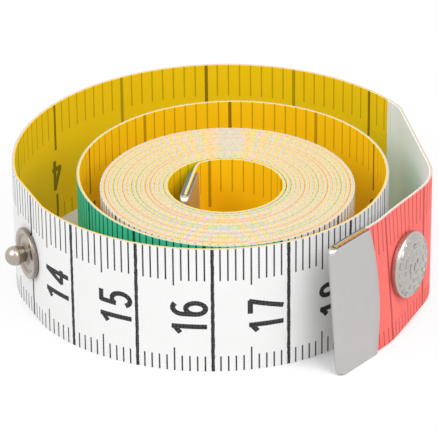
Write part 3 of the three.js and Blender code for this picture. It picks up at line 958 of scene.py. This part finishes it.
def handling_group():
    """Traces of handling: a soft cloud, and a mask of fine scratches along one direction."""
    name = "handling"
    if name in bpy.data.node_groups:
        return bpy.data.node_groups[name]
    floats = "NodeSocketFloat"
    group, given, result = new_group(
        name,
        [("Place", "NodeSocketVector", None), ("Cloud size", floats, 4 * MM), ("Grain", floats, 0.1 * MM)],
        [("Cloud", floats), ("Scratches", floats)],
    )
    outputs = {"Cloud size": (1, 1, 1), "Grain": SCRATCH_STRETCH}
    for (socket, stretch), wanted in zip(outputs.items(), ("Cloud", "Scratches")):
        inputs = {0: given.outputs["Place"], 1: stretch}
        placed = add_node(group, "ShaderNodeVectorMath", inputs, operation="MULTIPLY")
        scale = math_node(group, "DIVIDE", 1.0, given.outputs[socket])
        detail = {"Vector": placed.outputs[0], "Scale": scale, "Detail": 4.0}
        noise = add_node(group, "ShaderNodeTexNoise", detail)
        group.links.new(noise.outputs["Fac"], result.inputs[wanted])
    return group


def add_group(tree, group, inputs):
    return add_node(tree, "ShaderNodeGroup", inputs, node_tree=group)


def scale_place(tree):
    """Where a point lies on the flat tape: its distance from the scales' zero, and its height."""
    return add_node(tree, "ShaderNodeUVMap", uv_map="scale").outputs["UV"]


def station_output(tree):
    return add_node(tree, "ShaderNodeSeparateXYZ", {0: scale_place(tree)}).outputs["X"]


def mesh_value(tree, name):
    """A value that the mesh carries: its ink, its cut edges or the painted shade on metal."""
    return add_node(tree, "ShaderNodeAttribute", attribute_name=name).outputs["Fac"]


def blank_material(name):
    """A new material with an empty tree but for its shader and its output."""
    material = bpy.data.materials.new(name)
    material.use_nodes = True
    tree = material.node_tree
    tree.nodes.clear()
    shader = tree.nodes.new("ShaderNodeBsdfPrincipled")
    output = tree.nodes.new("ShaderNodeOutputMaterial")
    tree.links.new(shader.outputs[0], output.inputs["Surface"])
    return material, tree, shader


def set_roughness(tree, shader, value, span, roughness):
    """Spreads the roughness, from smooth to rough, over a span of a value."""
    low, high = span
    smooth, rough = roughness
    inputs = {"Value": value, "From Min": low, "From Max": high, "To Min": smooth, "To Max": rough}
    spread = add_node(tree, "ShaderNodeMapRange", inputs)
    tree.links.new(spread.outputs[0], shader.inputs["Roughness"])


def set_bump(tree, shader, height, strength, depth):
    """Lets the surface rise and fall in the light with a height."""
    bumped = add_node(tree, "ShaderNodeBump", {"Strength": strength, "Distance": depth, "Height": height})
    tree.links.new(bumped.outputs[0], shader.inputs["Normal"])


CLOTH_SOIL = (0.55, 0.5, 0.42, 1)
CLOTH_SOIL_SHARE = 0.1
CLOTH_SOIL_SIZE = 6 * MM
CLOTH_ROUGHNESS = (0.46, 0.62)
CLOTH_SHEEN = 0.14
COAT_BUMP = 0.07
CORE_BUMP = 0.15
BUMP_DEPTH = 0.04 * MM
HOLLOW_SHADE = 0.03  # how much darker the hollows between the yarns are
HOLLOW_INK = 0.1  # how much thinner the ink is there
INK_UNEVENNESS = 1.5  # how far the yarns wander, as the ink and the cut core show it
CORE_UNEVENNESS = 2.0
YARN_SHADE = 0.9  # between the yarns' ends on the cut core
EDGE_DOT_INK = 0.4  # how densely a tick's end is inked on the cut edge
EDGE_CLOUD_SIZE = 0.9 * MM
EDGE_CLOUD_SWING = 1.6
COLOUR_RUN = 100 * MM  # length of each colour of the outer face
COLOUR_COUNT = 4
OUTER_PALENESS = 0.5  # how much of the core's colour a coat has on the cut edge
INNER_PALENESS = 0.02
RED_COVER = 0.54  # how well the ink covers each colour
WHITE_COVER = 0.98
GREEN_COVER = 0.9
INNER_COVER = 0.75


def cloth_finish(tree, shader, settings, base, bump):
    """The look that all the tape's surfaces share: weave under the coat, faint soil, soft sheen."""
    place = scale_place(tree)
    weave = add_group(tree, weave_group(), {"Place": place, "Yarn": settings.tape.yarn})
    handling = add_group(tree, handling_group(), {"Place": place, "Cloud size": CLOTH_SOIL_SIZE})
    cloud = handling.outputs["Cloud"]
    hollow = math_node(tree, "MULTIPLY", weave.outputs["Hollow"], HOLLOW_SHADE)
    shaded = mix_colours(tree, hollow, base, BLACK)
    soil = math_node(tree, "MULTIPLY", cloud, CLOTH_SOIL_SHARE)
    soiled_and_shaded = mix_colours(tree, soil, shaded, CLOTH_SOIL, "MULTIPLY")
    tree.links.new(soiled_and_shaded, shader.inputs["Base Color"])
    set_roughness(tree, shader, cloud, (0, 1), CLOTH_ROUGHNESS)
    set_bump(tree, shader, weave.outputs["Height"], bump, BUMP_DEPTH)
    shader.inputs["Specular IOR Level"].default_value = CLOTH_SHEEN


def edge_dots(tree, settings, spacing):
    """A mask of the ticks' ends on the cut edge, where they show as dots."""
    beats = math_node(tree, "DIVIDE", station_output(tree), spacing)
    past = math_node(tree, "FRACT", math_node(tree, "ADD", beats, 0.5))
    away = math_node(tree, "ABSOLUTE", math_node(tree, "SUBTRACT", past, 0.5))
    dot = math_node(tree, "LESS_THAN", away, settings.scale.tick_width / 2 / spacing)
    return math_node(tree, "MULTIPLY", dot, mesh_value(tree, "cut"))


def inked(tree, base, settings, cover, spacing):
    """Lays the print's ink on a coat, whose colour shows through, more so where the weave is hollow."""
    dots = math_node(tree, "MULTIPLY", edge_dots(tree, settings, spacing), EDGE_DOT_INK)
    ink = math_node(tree, "MAXIMUM", mesh_value(tree, "ink"), dots)
    yarns = {"Place": scale_place(tree), "Yarn": settings.tape.yarn, "Unevenness": INK_UNEVENNESS}
    weave = add_group(tree, weave_group(), yarns)
    thin = math_node(tree, "MULTIPLY", weave.outputs["Hollow"], HOLLOW_INK)
    laid = math_node(tree, "MULTIPLY", ink, math_node(tree, "SUBTRACT", cover, thin))
    stained = mix_colours(tree, 1.0, base, opaque(settings.colours.ink), "MULTIPLY")
    return mix_colours(tree, laid, base, stained)


def edge_colour(tree, settings):
    """The cut edge's colour, with painted shade inside the outer tip, between its plates, and a mask of
    that place.
    """
    in_tip = math_node(tree, "LESS_THAN", station_output(tree), settings.tip.length - settings.scale.zero)
    return mix_colours(tree, in_tip, opaque(settings.colours.core), opaque(settings.colours.glue)), in_tip


def paled(tree, base, settings, share):
    """A coat's colour, mixed with the core's on the tape's cut edges, here more and there less."""
    traces = {"Place": scale_place(tree), "Cloud size": EDGE_CLOUD_SIZE}
    cloud = add_group(tree, handling_group(), traces).outputs["Cloud"]
    swing = math_node(tree, "MULTIPLY", math_node(tree, "SUBTRACT", cloud, 0.5), EDGE_CLOUD_SWING)
    edge, in_tip = edge_colour(tree, settings)
    # Inside the outer tip the coats' cut edges take the painted shade whole
    laid = math_node(tree, "MAXIMUM", math_node(tree, "ADD", swing, share), in_tip)
    laid = add_node(tree, "ShaderNodeClamp", {0: laid}).outputs[0]
    return mix_colours(tree, math_node(tree, "MULTIPLY", mesh_value(tree, "cut"), laid), base, edge)


def outer_coat_material(settings):
    """Printed centimetre face: red, white, green and white, one after the other, over and over."""
    material, tree, shader = blank_material("outer coat")
    colours = settings.colours
    rounds = math_node(tree, "DIVIDE", station_output(tree), COLOUR_COUNT * COLOUR_RUN)
    ramp = add_node(tree, "ShaderNodeValToRGB", {0: math_node(tree, "FRACT", rounds)})
    ramp.color_ramp.interpolation = "CONSTANT"
    stops = ramp.color_ramp.elements
    stops[0].color = (*colours.red, RED_COVER)
    stops[1].position = 3 / COLOUR_COUNT
    stops[1].color = (*colours.white, WHITE_COVER)
    stops.new(1 / COLOUR_COUNT).color = (*colours.white, WHITE_COVER)
    stops.new(2 / COLOUR_COUNT).color = (*colours.green, GREEN_COVER)
    coat = paled(tree, ramp.outputs["Color"], settings, OUTER_PALENESS)
    printed = inked(tree, coat, settings, ramp.outputs["Alpha"], MM)
    cloth_finish(tree, shader, settings, printed, COAT_BUMP)
    return material


def inner_coat_material(settings):
    """Printed inch face: yellow, but for a white lead at the outer end."""
    material, tree, shader = blank_material("inner coat")
    colours = settings.colours
    lead = math_node(tree, "LESS_THAN", station_output(tree), settings.tape.inner_white)
    base = mix_colours(tree, lead, opaque(colours.yellow), opaque(colours.lead))
    coat = paled(tree, base, settings, INNER_PALENESS)
    printed = inked(tree, coat, settings, INNER_COVER, INCH / INCH_PARTS)
    cloth_finish(tree, shader, settings, printed, COAT_BUMP)
    return material


def core_material(settings):
    """Cut edge of the woven core: pale yarn ends side by side."""
    material, tree, shader = blank_material("cut core")
    yarns = {"Place": scale_place(tree), "Yarn": settings.tape.yarn, "Unevenness": CORE_UNEVENNESS}
    weave = add_group(tree, weave_group(), yarns)
    edge, _ = edge_colour(tree, settings)
    shaded = mix_colours(tree, 1.0, edge, shade(WHITE[:3], YARN_SHADE), "MULTIPLY")
    base = mix_colours(tree, weave.outputs["Hollow"], edge, shaded)
    cloth_finish(tree, shader, settings, base, CORE_BUMP)
    return material


def tape_materials(settings):
    """The tape's three finishes, in the order of its material slots."""
    names = ("outer coat", "inner coat", "cut core")
    makers = (outer_coat_material, inner_coat_material, core_material)
    return [bpy.data.materials.get(name) or make(settings) for name, make in zip(names, makers)]


PAINTED_METAL_SHADE = (0.05, 0.042, 0.036, 1)  # painted shade: the dark colour of the metal's corners and edges, and of the cap's bars' sides
METAL_CLOUD_SIZE = 2.5 * MM
METAL_CLOUD_SPAN = (0.1, 0.4)
METAL_SHADES = (0.93, 1.05)  # of the plate, from cloud to cloud
SCRATCH_DEPTH = 0.02 * MM
PLATES = {
    "bright nickel": {"colour": "nickel", "grain": 0.12 * MM, "roughness": (0.24, 0.36), "bump": 0.1},
    "warm nickel": {"colour": "stud", "grain": 0.12 * MM, "roughness": (0.2, 0.34), "bump": 0.1},
    "satin tip metal": {"colour": "tip_metal", "grain": 0.1 * MM, "roughness": (0.36, 0.48), "bump": 0.2},
}


def plate_material(name, settings):
    """Plated metal with a fine grain, traces of handling, and painted shade in its corners and along its
    edges.
    """
    if name in bpy.data.materials:
        return bpy.data.materials[name]
    finish = PLATES[name]
    colour_of_plate = getattr(settings.colours, finish["colour"])
    material, tree, shader = blank_material(name)
    place = add_node(tree, "ShaderNodeTexCoord").outputs["Object"]
    traces = {"Place": place, "Cloud size": METAL_CLOUD_SIZE, "Grain": finish["grain"]}
    handling = add_group(tree, handling_group(), traces)
    cloud, scratches = handling.outputs["Cloud"], handling.outputs["Scratches"]
    plate = mix_colours(tree, cloud, *(shade(colour_of_plate, factor) for factor in METAL_SHADES))
    # Painted shade: the plate darkens as far as the mesh's values say
    base = mix_colours(tree, mesh_value(tree, "soil"), plate, PAINTED_METAL_SHADE)
    tree.links.new(base, shader.inputs["Base Color"])
    shader.inputs["Metallic"].default_value = 1
    mixed = math_node(tree, "MULTIPLY", cloud, scratches)
    set_roughness(tree, shader, mixed, METAL_CLOUD_SPAN, finish["roughness"])
    set_bump(tree, shader, scratches, finish["bump"], SCRATCH_DEPTH)
    return material


# The pieces


# The stretches of each face that show, and so are printed
COIL_OUTSIDE = 110 * MM
COIL_INSIDE = 20 * MM
LEAD_END = 48 * MM
BORE_WALL = 60 * MM
PRINTED_OUTSIDE = [(0, line.coil_start + COIL_OUTSIDE)]
PRINTED_INSIDE = [(LEAD_END, line.coil_start + COIL_INSIDE), (INNER_HINGE - BORE_WALL, TAPE_LENGTH)]


def tape_piece(context, name, first, last, node, slot):
    """A length of tape in place of a solid of the frame."""
    settings = context.scene.tape_measure
    strip = TapeStrip(settings, first, last, PRINTED_OUTSIDE, PRINTED_INSIDE)
    piece = strip.piece(name, tape_materials(settings))
    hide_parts(node)
    return piece


def metal_piece(piece, body, node):
    """Seats a metal piece on its body, in place of a solid of the frame."""
    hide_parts(node)
    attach(piece, body)
    return {"FINISHED"}


class TAPE_OT_wound_tape(bpy.types.Operator):
    """Make the tight coil, the second turn and the fixed part of the outer turn"""

    bl_idname = "tape_measure.wound_tape"
    bl_label = "Wound Tape"

    def execute(self, context):
        outer_start = CHAIN_STATION + LINK_LENGTH / 2
        coil_end = INNER_HINGE - INNER_BEND_IN
        second_start, coil_start = line.second_start, line.coil_start
        lengths = (
            ("coil_strip", coil_start, coil_end, "tape_coil", "tape_wound"),
            ("second_turn_strip", second_start, coil_start, "tape_second_turn", "tape_green"),
            ("outer_turn_strip", outer_start, second_start, "tape_outer_turn", "tape_white"),
        )
        for length in lengths:
            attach(tape_piece(context, *length), "roll")
        return {"FINISHED"}


class TAPE_OT_free_tape(bpy.types.Operator):
    """Make the free length of tape, one piece across each hinge, from mid-link to mid-link"""

    bl_idname = "tape_measure.free_tape"
    bl_label = "Free Tape"

    def execute(self, context):
        tape = context.scene.tape_measure.tape
        for number in range(1, LINK_COUNT + 1):
            hinge = END_HINGE + number * LINK_LENGTH
            near, far = hinge - LINK_LENGTH / 2, hinge + LINK_LENGTH / 2
            slot = "tape_red" if hinge < COLOUR_RUN else "tape_white"
            node = f"tape_link_{number:02d}"
            piece = tape_piece(context, f"free_strip_{number}", near, far, node, slot)
            line.middle(far, tape)
            line.middle(near, tape)
            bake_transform(piece)
        return {"FINISHED"}


class TAPE_OT_tape_ends(bpy.types.Operator):
    """Make the outer end of the tape under the cap, and the inner end in the coil's bore"""

    bl_idname = "tape_measure.tape_ends"
    bl_label = "Tape Ends"

    def execute(self, context):
        tape = context.scene.tape_measure.tape
        inset = SHEET_THICKNESS + TIP_ROOM
        start = END_HINGE + LINK_LENGTH / 2
        outer = tape_piece(context, "outer_end_strip", inset, start, "tape_end", "tape_red")
        stop = END_HINGE - END_BEND_OUT
        line.middle(start, tape)
        line.middle(stop, tape)
        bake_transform(outer)
        start = INNER_HINGE - INNER_BEND_IN
        inner = tape_piece(
            context, "inner_end_strip", start, TAPE_LENGTH - inset, "tape_inner_end", "tape_wound"
        )
        stop = INNER_HINGE + INNER_BEND_OUT
        line.middle(start, tape)
        line.middle(stop, tape)
        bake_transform(inner)
        return {"FINISHED"}


class TAPE_OT_metal_tips(bpy.types.Operator):
    """Make the two folded metal tips"""

    bl_idname = "tape_measure.metal_tips"
    bl_label = "Metal Tips"

    def execute(self, context):
        settings = context.scene.tape_measure
        for end, station, turn in (("outer", 0, 1), ("inner", TAPE_LENGTH, -1)):
            upright = Matrix(((turn, 0, 0), (0, 0, 1), (0, -turn, 0))).to_4x4()
            place = seat_matrix(station, settings.tape) @ upright
            material = plate_material("satin tip metal", settings)
            piece = folded_tip(f"{end}_tip_sheet", place, settings.tip, settings.tape, material)
            body = "end" if end == "outer" else "inner_end"
            metal_piece(piece, body, f"{end}_tip")
        return {"FINISHED"}


TURNED_STEPS = 96
DOME_RINGS = 90
DOME_STEPS = 288
BALL_RINGS = 28
BAR_RINGS = ((0.8 * MM, 4), (1.9 * MM, 9), (2.95 * MM, 13), (3.95 * MM, 18))  # radius, and how many bars
BAR_STARTS = (0, 0.3)  # as shares of a bar's room
BAR_ENDS = (0.4, 0.95)
# How dark the painted shade along a bar's sides is, standing in for dark reflections in its slopes
BAR_DARKNESS = (1.0, 2.4, 3.8)


def seated(context, name, profile, closed, station, finish, steps=TURNED_STEPS, **more):
    """A turned piece of the snap, on the tape at a station."""
    settings = context.scene.tape_measure
    place = seat_matrix(station, settings.tape)
    return turned(name, profile, closed, steps, place, plate_material(finish, settings), **more)


class CapBars:
    """Rings of short raised bars on the cap's dome, of uneven lengths, with painted shade along their
    sides.
    """

    def __init__(self, snap):
        draw = np.random.default_rng(snap.bar_seed)
        self.rise = snap.bar_height
        self.half = snap.bar_width / 2
        self.slope = snap.bar_width / 3
        self.rings = []
        for reach, count in BAR_RINGS:
            spans = [
                (k + draw.uniform(*BAR_STARTS), k + draw.uniform(*BAR_ENDS), draw.choice(BAR_DARKNESS))
                for k in range(count)
            ]
            self.rings.append((reach, count, draw.uniform(0, TURN), spans))

    def share(self, radius, angle):
        """1 on top of a bar, 0 on the ground between the bars, and how dark the painted shade on that bar's
        sides is.
        """
        most, darkest = 0, 0
        for reach, count, turn, spans in self.rings:
            across = self.half - abs(radius - reach)
            if across < -self.slope:
                continue
            place = (angle + turn) % TURN / TURN * count
            per_step = TURN * reach / count
            start, end, dark = spans[int(place)]
            along = min(place - start, end - place) * per_step
            inside = min(across, along)
            share = min(1, max(0, 0.5 + inside / self.slope))
            if share > most:
                most, darkest = share, dark
        return most * most * (3 - 2 * most), darkest

    def height(self, radius, angle):
        return self.rise * self.share(radius, angle)[0]

    # Painted shade along the bars' sides, darkest half way up their slopes
    def soil(self, radius, angle, height):
        share, dark = self.share(radius, angle)
        return dark * share * (1 - share)


class TAPE_OT_snap_cap(bpy.types.Operator):
    """Make the snap cap: a low dome with rings of raised bars, on its post"""

    bl_idname = "tape_measure.snap_cap"
    bl_label = "Snap Cap"

    def execute(self, context):
        snap = context.scene.tape_measure.snap
        radius, post = snap.cap_diameter / 2, snap.post_diameter / 2
        rise = snap.cap_height - snap.cap_rim
        post_end = -SEAT - snap.socket_wall
        rounding = 0.12 * MM
        profile = eased([(post, SEAT), (radius, SEAT), (radius, SEAT + snap.cap_rim)], False, rounding)
        for k in range(1, DOME_RINGS):
            angle = TURN / 4 * k / DOME_RINGS
            profile.append((radius * math.cos(angle), SEAT + snap.cap_rim + rise * math.sin(angle)))
        profile = [(0, post_end), (post, post_end), *profile, (0, SEAT + snap.cap_height)]
        bars = CapBars(snap)
        look = {"steps": DOME_STEPS, "relief": bars.height, "soil": bars.soil}
        piece = seated(context, "cap_dome", profile, False, CAP_STATION, "bright nickel", **look)
        return metal_piece(piece, "end", "snap_cap")


class TAPE_OT_snap_socket(bpy.types.Operator):
    """Make the snap socket: a brimmed ring with a narrow mouth"""

    bl_idname = "tape_measure.snap_socket"
    bl_label = "Snap Socket"

    def execute(self, context):
        snap = context.scene.tape_measure.snap
        wall = snap.socket_wall
        clearance = 0.2 * MM
        hole = snap.post_diameter / 2 + clearance
        room = snap.mouth_radius + snap.spring_wire + clearance
        brim, lip, front = -SEAT - wall, wall - SEAT - snap.socket_height, -SEAT - snap.socket_height
        outline = [(hole, -SEAT), (hole, brim), (room, brim), (room, lip), (snap.mouth_radius, lip)]
        outline += [(snap.mouth_radius, front), (room + wall, front), (room + wall, brim)]
        outline += [(snap.socket_diameter / 2, brim), (snap.socket_diameter / 2, -SEAT)]
        rounding = 0.18 * MM
        profile = eased(outline, True, rounding)
        piece = seated(context, "socket_ring", profile, True, CAP_STATION, "bright nickel")
        return metal_piece(piece, "end", "snap_socket")


class TAPE_OT_socket_spring(bpy.types.Operator):
    """Make the split wire ring in the socket"""

    bl_idname = "tape_measure.socket_spring"
    bl_label = "Socket Spring"

    def execute(self, context):
        settings = context.scene.tape_measure
        snap = settings.snap
        radius = snap.mouth_radius + snap.spring_wire / 2
        height = -SEAT - snap.socket_height / 2
        opening = 40 * DEGREE
        place = seat_matrix(CAP_STATION, settings.tape)
        material = plate_material("bright nickel", settings)
        piece = spring_ring("spring_wire", radius, snap.spring_wire, opening, height, place, material)
        return metal_piece(piece, "end", "socket_spring")


class TAPE_OT_snap_stud(bpy.types.Operator):
    """Make the snap stud: a dished flange, a neck and a ball"""

    bl_idname = "tape_measure.snap_stud"
    bl_label = "Snap Stud"

    def execute(self, context):
        snap = context.scene.tape_measure.snap
        ball, neck = snap.ball_diameter / 2, snap.neck_diameter / 2
        radius, top = snap.stud_diameter / 2, SEAT + snap.stud_flange
        centre = top + ball
        bore, bore_end = snap.tube_diameter / 2, centre - ball * 0.3
        dish, dish_edge, dish_foot = SEAT + snap.stud_flange * 0.55, radius * 0.82, radius * 0.7
        neck_foot, neck_top, groove = neck * 1.5, top + 0.1 * MM, radius * 0.72
        rounding = 0.22 * MM
        outline = [(bore, bore_end), (bore, SEAT), (radius, SEAT), (radius, top), (dish_edge, top)]
        outline += [(dish_foot, dish), (neck_foot, dish), (neck, neck_top)]
        profile = [(0, bore_end), *eased(outline, False, rounding)]
        lowest = -math.acos(neck / ball)
        for k in range(1, BALL_RINGS):
            angle = lowest + (TURN / 4 - lowest) * k / BALL_RINGS
            profile.append((ball * math.cos(angle), centre + ball * math.sin(angle)))
        profile.append((0, centre + ball))

        def soil(reach, angle, height):
            """Painted shade: dark rings at the foot of the ball and in the dish's groove, and a dark
            painted reflection on the flange's rim.
            """
            at_foot = math.hypot(reach - neck, height - top) / (0.5 * MM)
            in_groove = (reach - groove) / (0.2 * MM)
            on_rim = (reach - radius) / (0.1 * MM)
            rings = ((0.7, at_foot), (0.4, in_groove), (0.45, on_rim))
            return sum(darkness * math.exp(-(away**2)) for darkness, away in rings)

        piece = seated(context, "stud_ball", profile, False, STUD_STATION, "warm nickel", soil=soil)
        return metal_piece(piece, "roll", "snap_stud")


class TAPE_OT_stud_eyelet(bpy.types.Operator):
    """Make the eyelet behind the stud: a flange, and a tube through the tape"""

    bl_idname = "tape_measure.stud_eyelet"
    bl_label = "Stud Eyelet"

    def execute(self, context):
        snap = context.scene.tape_measure.snap
        clearance = 0.1 * MM
        tube = snap.tube_diameter / 2 - clearance
        bore = tube - snap.wall
        back, top = -SEAT - snap.eyelet_flange, SEAT + snap.stud_flange + snap.ball_diameter * 0.3
        radius = snap.eyelet_diameter / 2
        outline = [(bore, back), (radius, back), (radius, -SEAT), (tube, -SEAT), (tube, top), (bore, top)]
        rounding = 0.15 * MM
        profile = eased(outline, True, rounding)
        piece = seated(context, "eyelet_ring", profile, True, STUD_STATION, "bright nickel")
        return metal_piece(piece, "roll", "stud_eyelet")


# The stage


KEY_PLACE = (-0.58, -0.42, 0.84)
FILL_PLACE = (0.57, -0.42, 0.84)
LAMP_SIDE = 0.8
SENSOR_MM = 36
FLOOR_ROUGHNESS = 0.9
FLOOR_SHEEN = 0.1
SHELTER_REACH = 40 * MM  # how near the tape has to be to shelter the floor
SHELTER_SPAN = (0.42, 0.5)  # from sheltered to open


def add_lamp(name, location, target, side, power):
    """A soft square lamp that looks at a point."""
    data = bpy.data.lights.new(name, "AREA")
    data.size = side
    data.energy = power
    lamp = bpy.data.objects.new(name, data)
    lamp.location = location
    lamp.rotation_euler = (Vector(target) - Vector(location)).to_track_quat("-Z", "Y").to_euler()
    bpy.context.scene.collection.objects.link(lamp)


def seen_directly(tree):
    """1 for what the camera sees, also in metal and through glass, and 0 for what lights the object."""
    path = tree.nodes.new("ShaderNodeLightPath")
    seen = math_node(tree, "MAXIMUM", path.outputs["Is Camera Ray"], path.outputs["Is Glossy Ray"])
    return math_node(tree, "MAXIMUM", seen, path.outputs["Is Transmission Ray"])


class TAPE_OT_stage(bpy.types.Operator):
    """Make the floor, the lamps, the sky and the camera"""

    bl_idname = "tape_measure.stage"
    bl_label = "Stage"

    def execute(self, context):
        settings = context.scene.tape_measure
        self.make_floor(settings)
        self.make_light(context.scene, settings)
        self.make_camera(context.scene, settings)
        context.scene.view_settings.view_transform = "Standard"
        return {"FINISHED"}

    def make_floor(self, settings):
        side = settings.stage.floor_side / 2
        mesh = bpy.data.meshes.new("floor")
        corners = [(-side, -side, 0), (side, -side, 0), (side, side, 0), (-side, side, 0)]
        mesh.from_pydata(corners, [], [[0, 1, 2, 3]])
        floor = bpy.data.objects.new("floor", mesh)
        bpy.context.scene.collection.objects.link(floor)
        material, tree, shader = blank_material("floor")
        shader.inputs["Base Color"].default_value = opaque(settings.colours.floor)
        shader.inputs["Roughness"].default_value = FLOOR_ROUGHNESS
        shader.inputs["Specular IOR Level"].default_value = FLOOR_SHEEN
        glow = add_node(tree, "ShaderNodeEmission", {"Color": WHITE, "Strength": 1.0})
        shelter = add_node(tree, "ShaderNodeAmbientOcclusion", {"Distance": SHELTER_REACH})
        sheltered, clear = SHELTER_SPAN
        span = {"Value": shelter.outputs["AO"], "From Min": sheltered, "From Max": clear}
        opened = add_node(tree, "ShaderNodeMapRange", span)
        glowing = math_node(tree, "MULTIPLY", opened.outputs[0], settings.stage.floor_glow)
        share = math_node(tree, "MULTIPLY", seen_directly(tree), glowing)
        mixed = add_node(tree, "ShaderNodeMixShader", {0: share, 1: shader.outputs[0], 2: glow.outputs[0]})
        output = next(node for node in tree.nodes if node.type == "OUTPUT_MATERIAL")
        tree.links.new(mixed.outputs[0], output.inputs["Surface"])
        mesh.materials.append(material)

    def make_light(self, scene, settings):
        world = bpy.data.worlds.new("sky")
        world.use_nodes = True
        tree = world.node_tree
        tree.nodes.clear()
        light, white = (
            add_node(tree, "ShaderNodeBackground", {"Color": WHITE, "Strength": power}).outputs[0]
            for power in (settings.stage.sky, 1.0)
        )
        mixed = add_node(tree, "ShaderNodeMixShader", {0: seen_directly(tree), 1: light, 2: white})
        output = tree.nodes.new("ShaderNodeOutputWorld")
        tree.links.new(mixed.outputs[0], output.inputs["Surface"])
        scene.world = world
        aim = (0, 0, settings.tape.width / 2)
        add_lamp("key lamp", KEY_PLACE, aim, LAMP_SIDE, settings.stage.key)
        add_lamp("fill lamp", FILL_PLACE, aim, LAMP_SIDE, settings.stage.fill)

    def make_camera(self, scene, settings):
        stage = settings.stage
        data = bpy.data.cameras.new("camera")
        data.sensor_width = SENSOR_MM
        data.lens = stage.focal_length / MM
        camera = bpy.data.objects.new("camera", data)
        target = Vector((*(line.centre + [stage.aim_x, stage.aim_y]), 0))
        back = Vector((0, -math.cos(stage.elevation), math.sin(stage.elevation)))
        camera.location = target + back * stage.distance
        facing = (-back).to_track_quat("-Z", "Y").to_matrix().to_4x4()
        turn = facing @ Matrix.Rotation(stage.tilt, 4, "Z")
        camera.rotation_euler = turn.to_euler()
        scene.collection.objects.link(camera)
        scene.camera = camera


class TAPE_PT_panel(bpy.types.Panel):
    """Steps and settings of the tape measure"""

    bl_label = "Tape Measure"
    bl_idname = "TAPE_PT_panel"
    bl_space_type = "VIEW_3D"
    bl_region_type = "UI"
    bl_category = "Tape Measure"

    def draw(self, context):
        settings = context.scene.tape_measure
        for operator in OPERATORS:
            self.layout.operator(operator.bl_idname)
        for group in ("tape", "scale", "tip", "snap", "colours", "stage"):
            box = self.layout.box()
            box.label(text=group.title())
            values = getattr(settings, group)
            for name in values.__annotations__:
                box.prop(values, name)


OPERATORS = (
    TAPE_OT_stage,
    TAPE_OT_wound_tape,
    TAPE_OT_free_tape,
    TAPE_OT_tape_ends,
    TAPE_OT_metal_tips,
    TAPE_OT_snap_cap,
    TAPE_OT_snap_socket,
    TAPE_OT_socket_spring,
    TAPE_OT_snap_stud,
    TAPE_OT_stud_eyelet,
)
GROUPS = (TapeSizes, PrintSizes, TipSizes, SnapSizes, Colours, StageSettings, TapeMeasureSettings)


def register():
    for item in (*GROUPS, *OPERATORS, TAPE_PT_panel):
        bpy.utils.register_class(item)
    bpy.types.Scene.tape_measure = PointerProperty(type=TapeMeasureSettings)


def unregister():
    del bpy.types.Scene.tape_measure
    for item in (TAPE_PT_panel, *OPERATORS[::-1], *GROUPS[::-1]):
        bpy.utils.unregister_class(item)


def main():
    register()
    for operator in OPERATORS:
        category, name = operator.bl_idname.split(".")
        getattr(getattr(bpy.ops, category), name)()


if __name__ == "__main__":
    main()
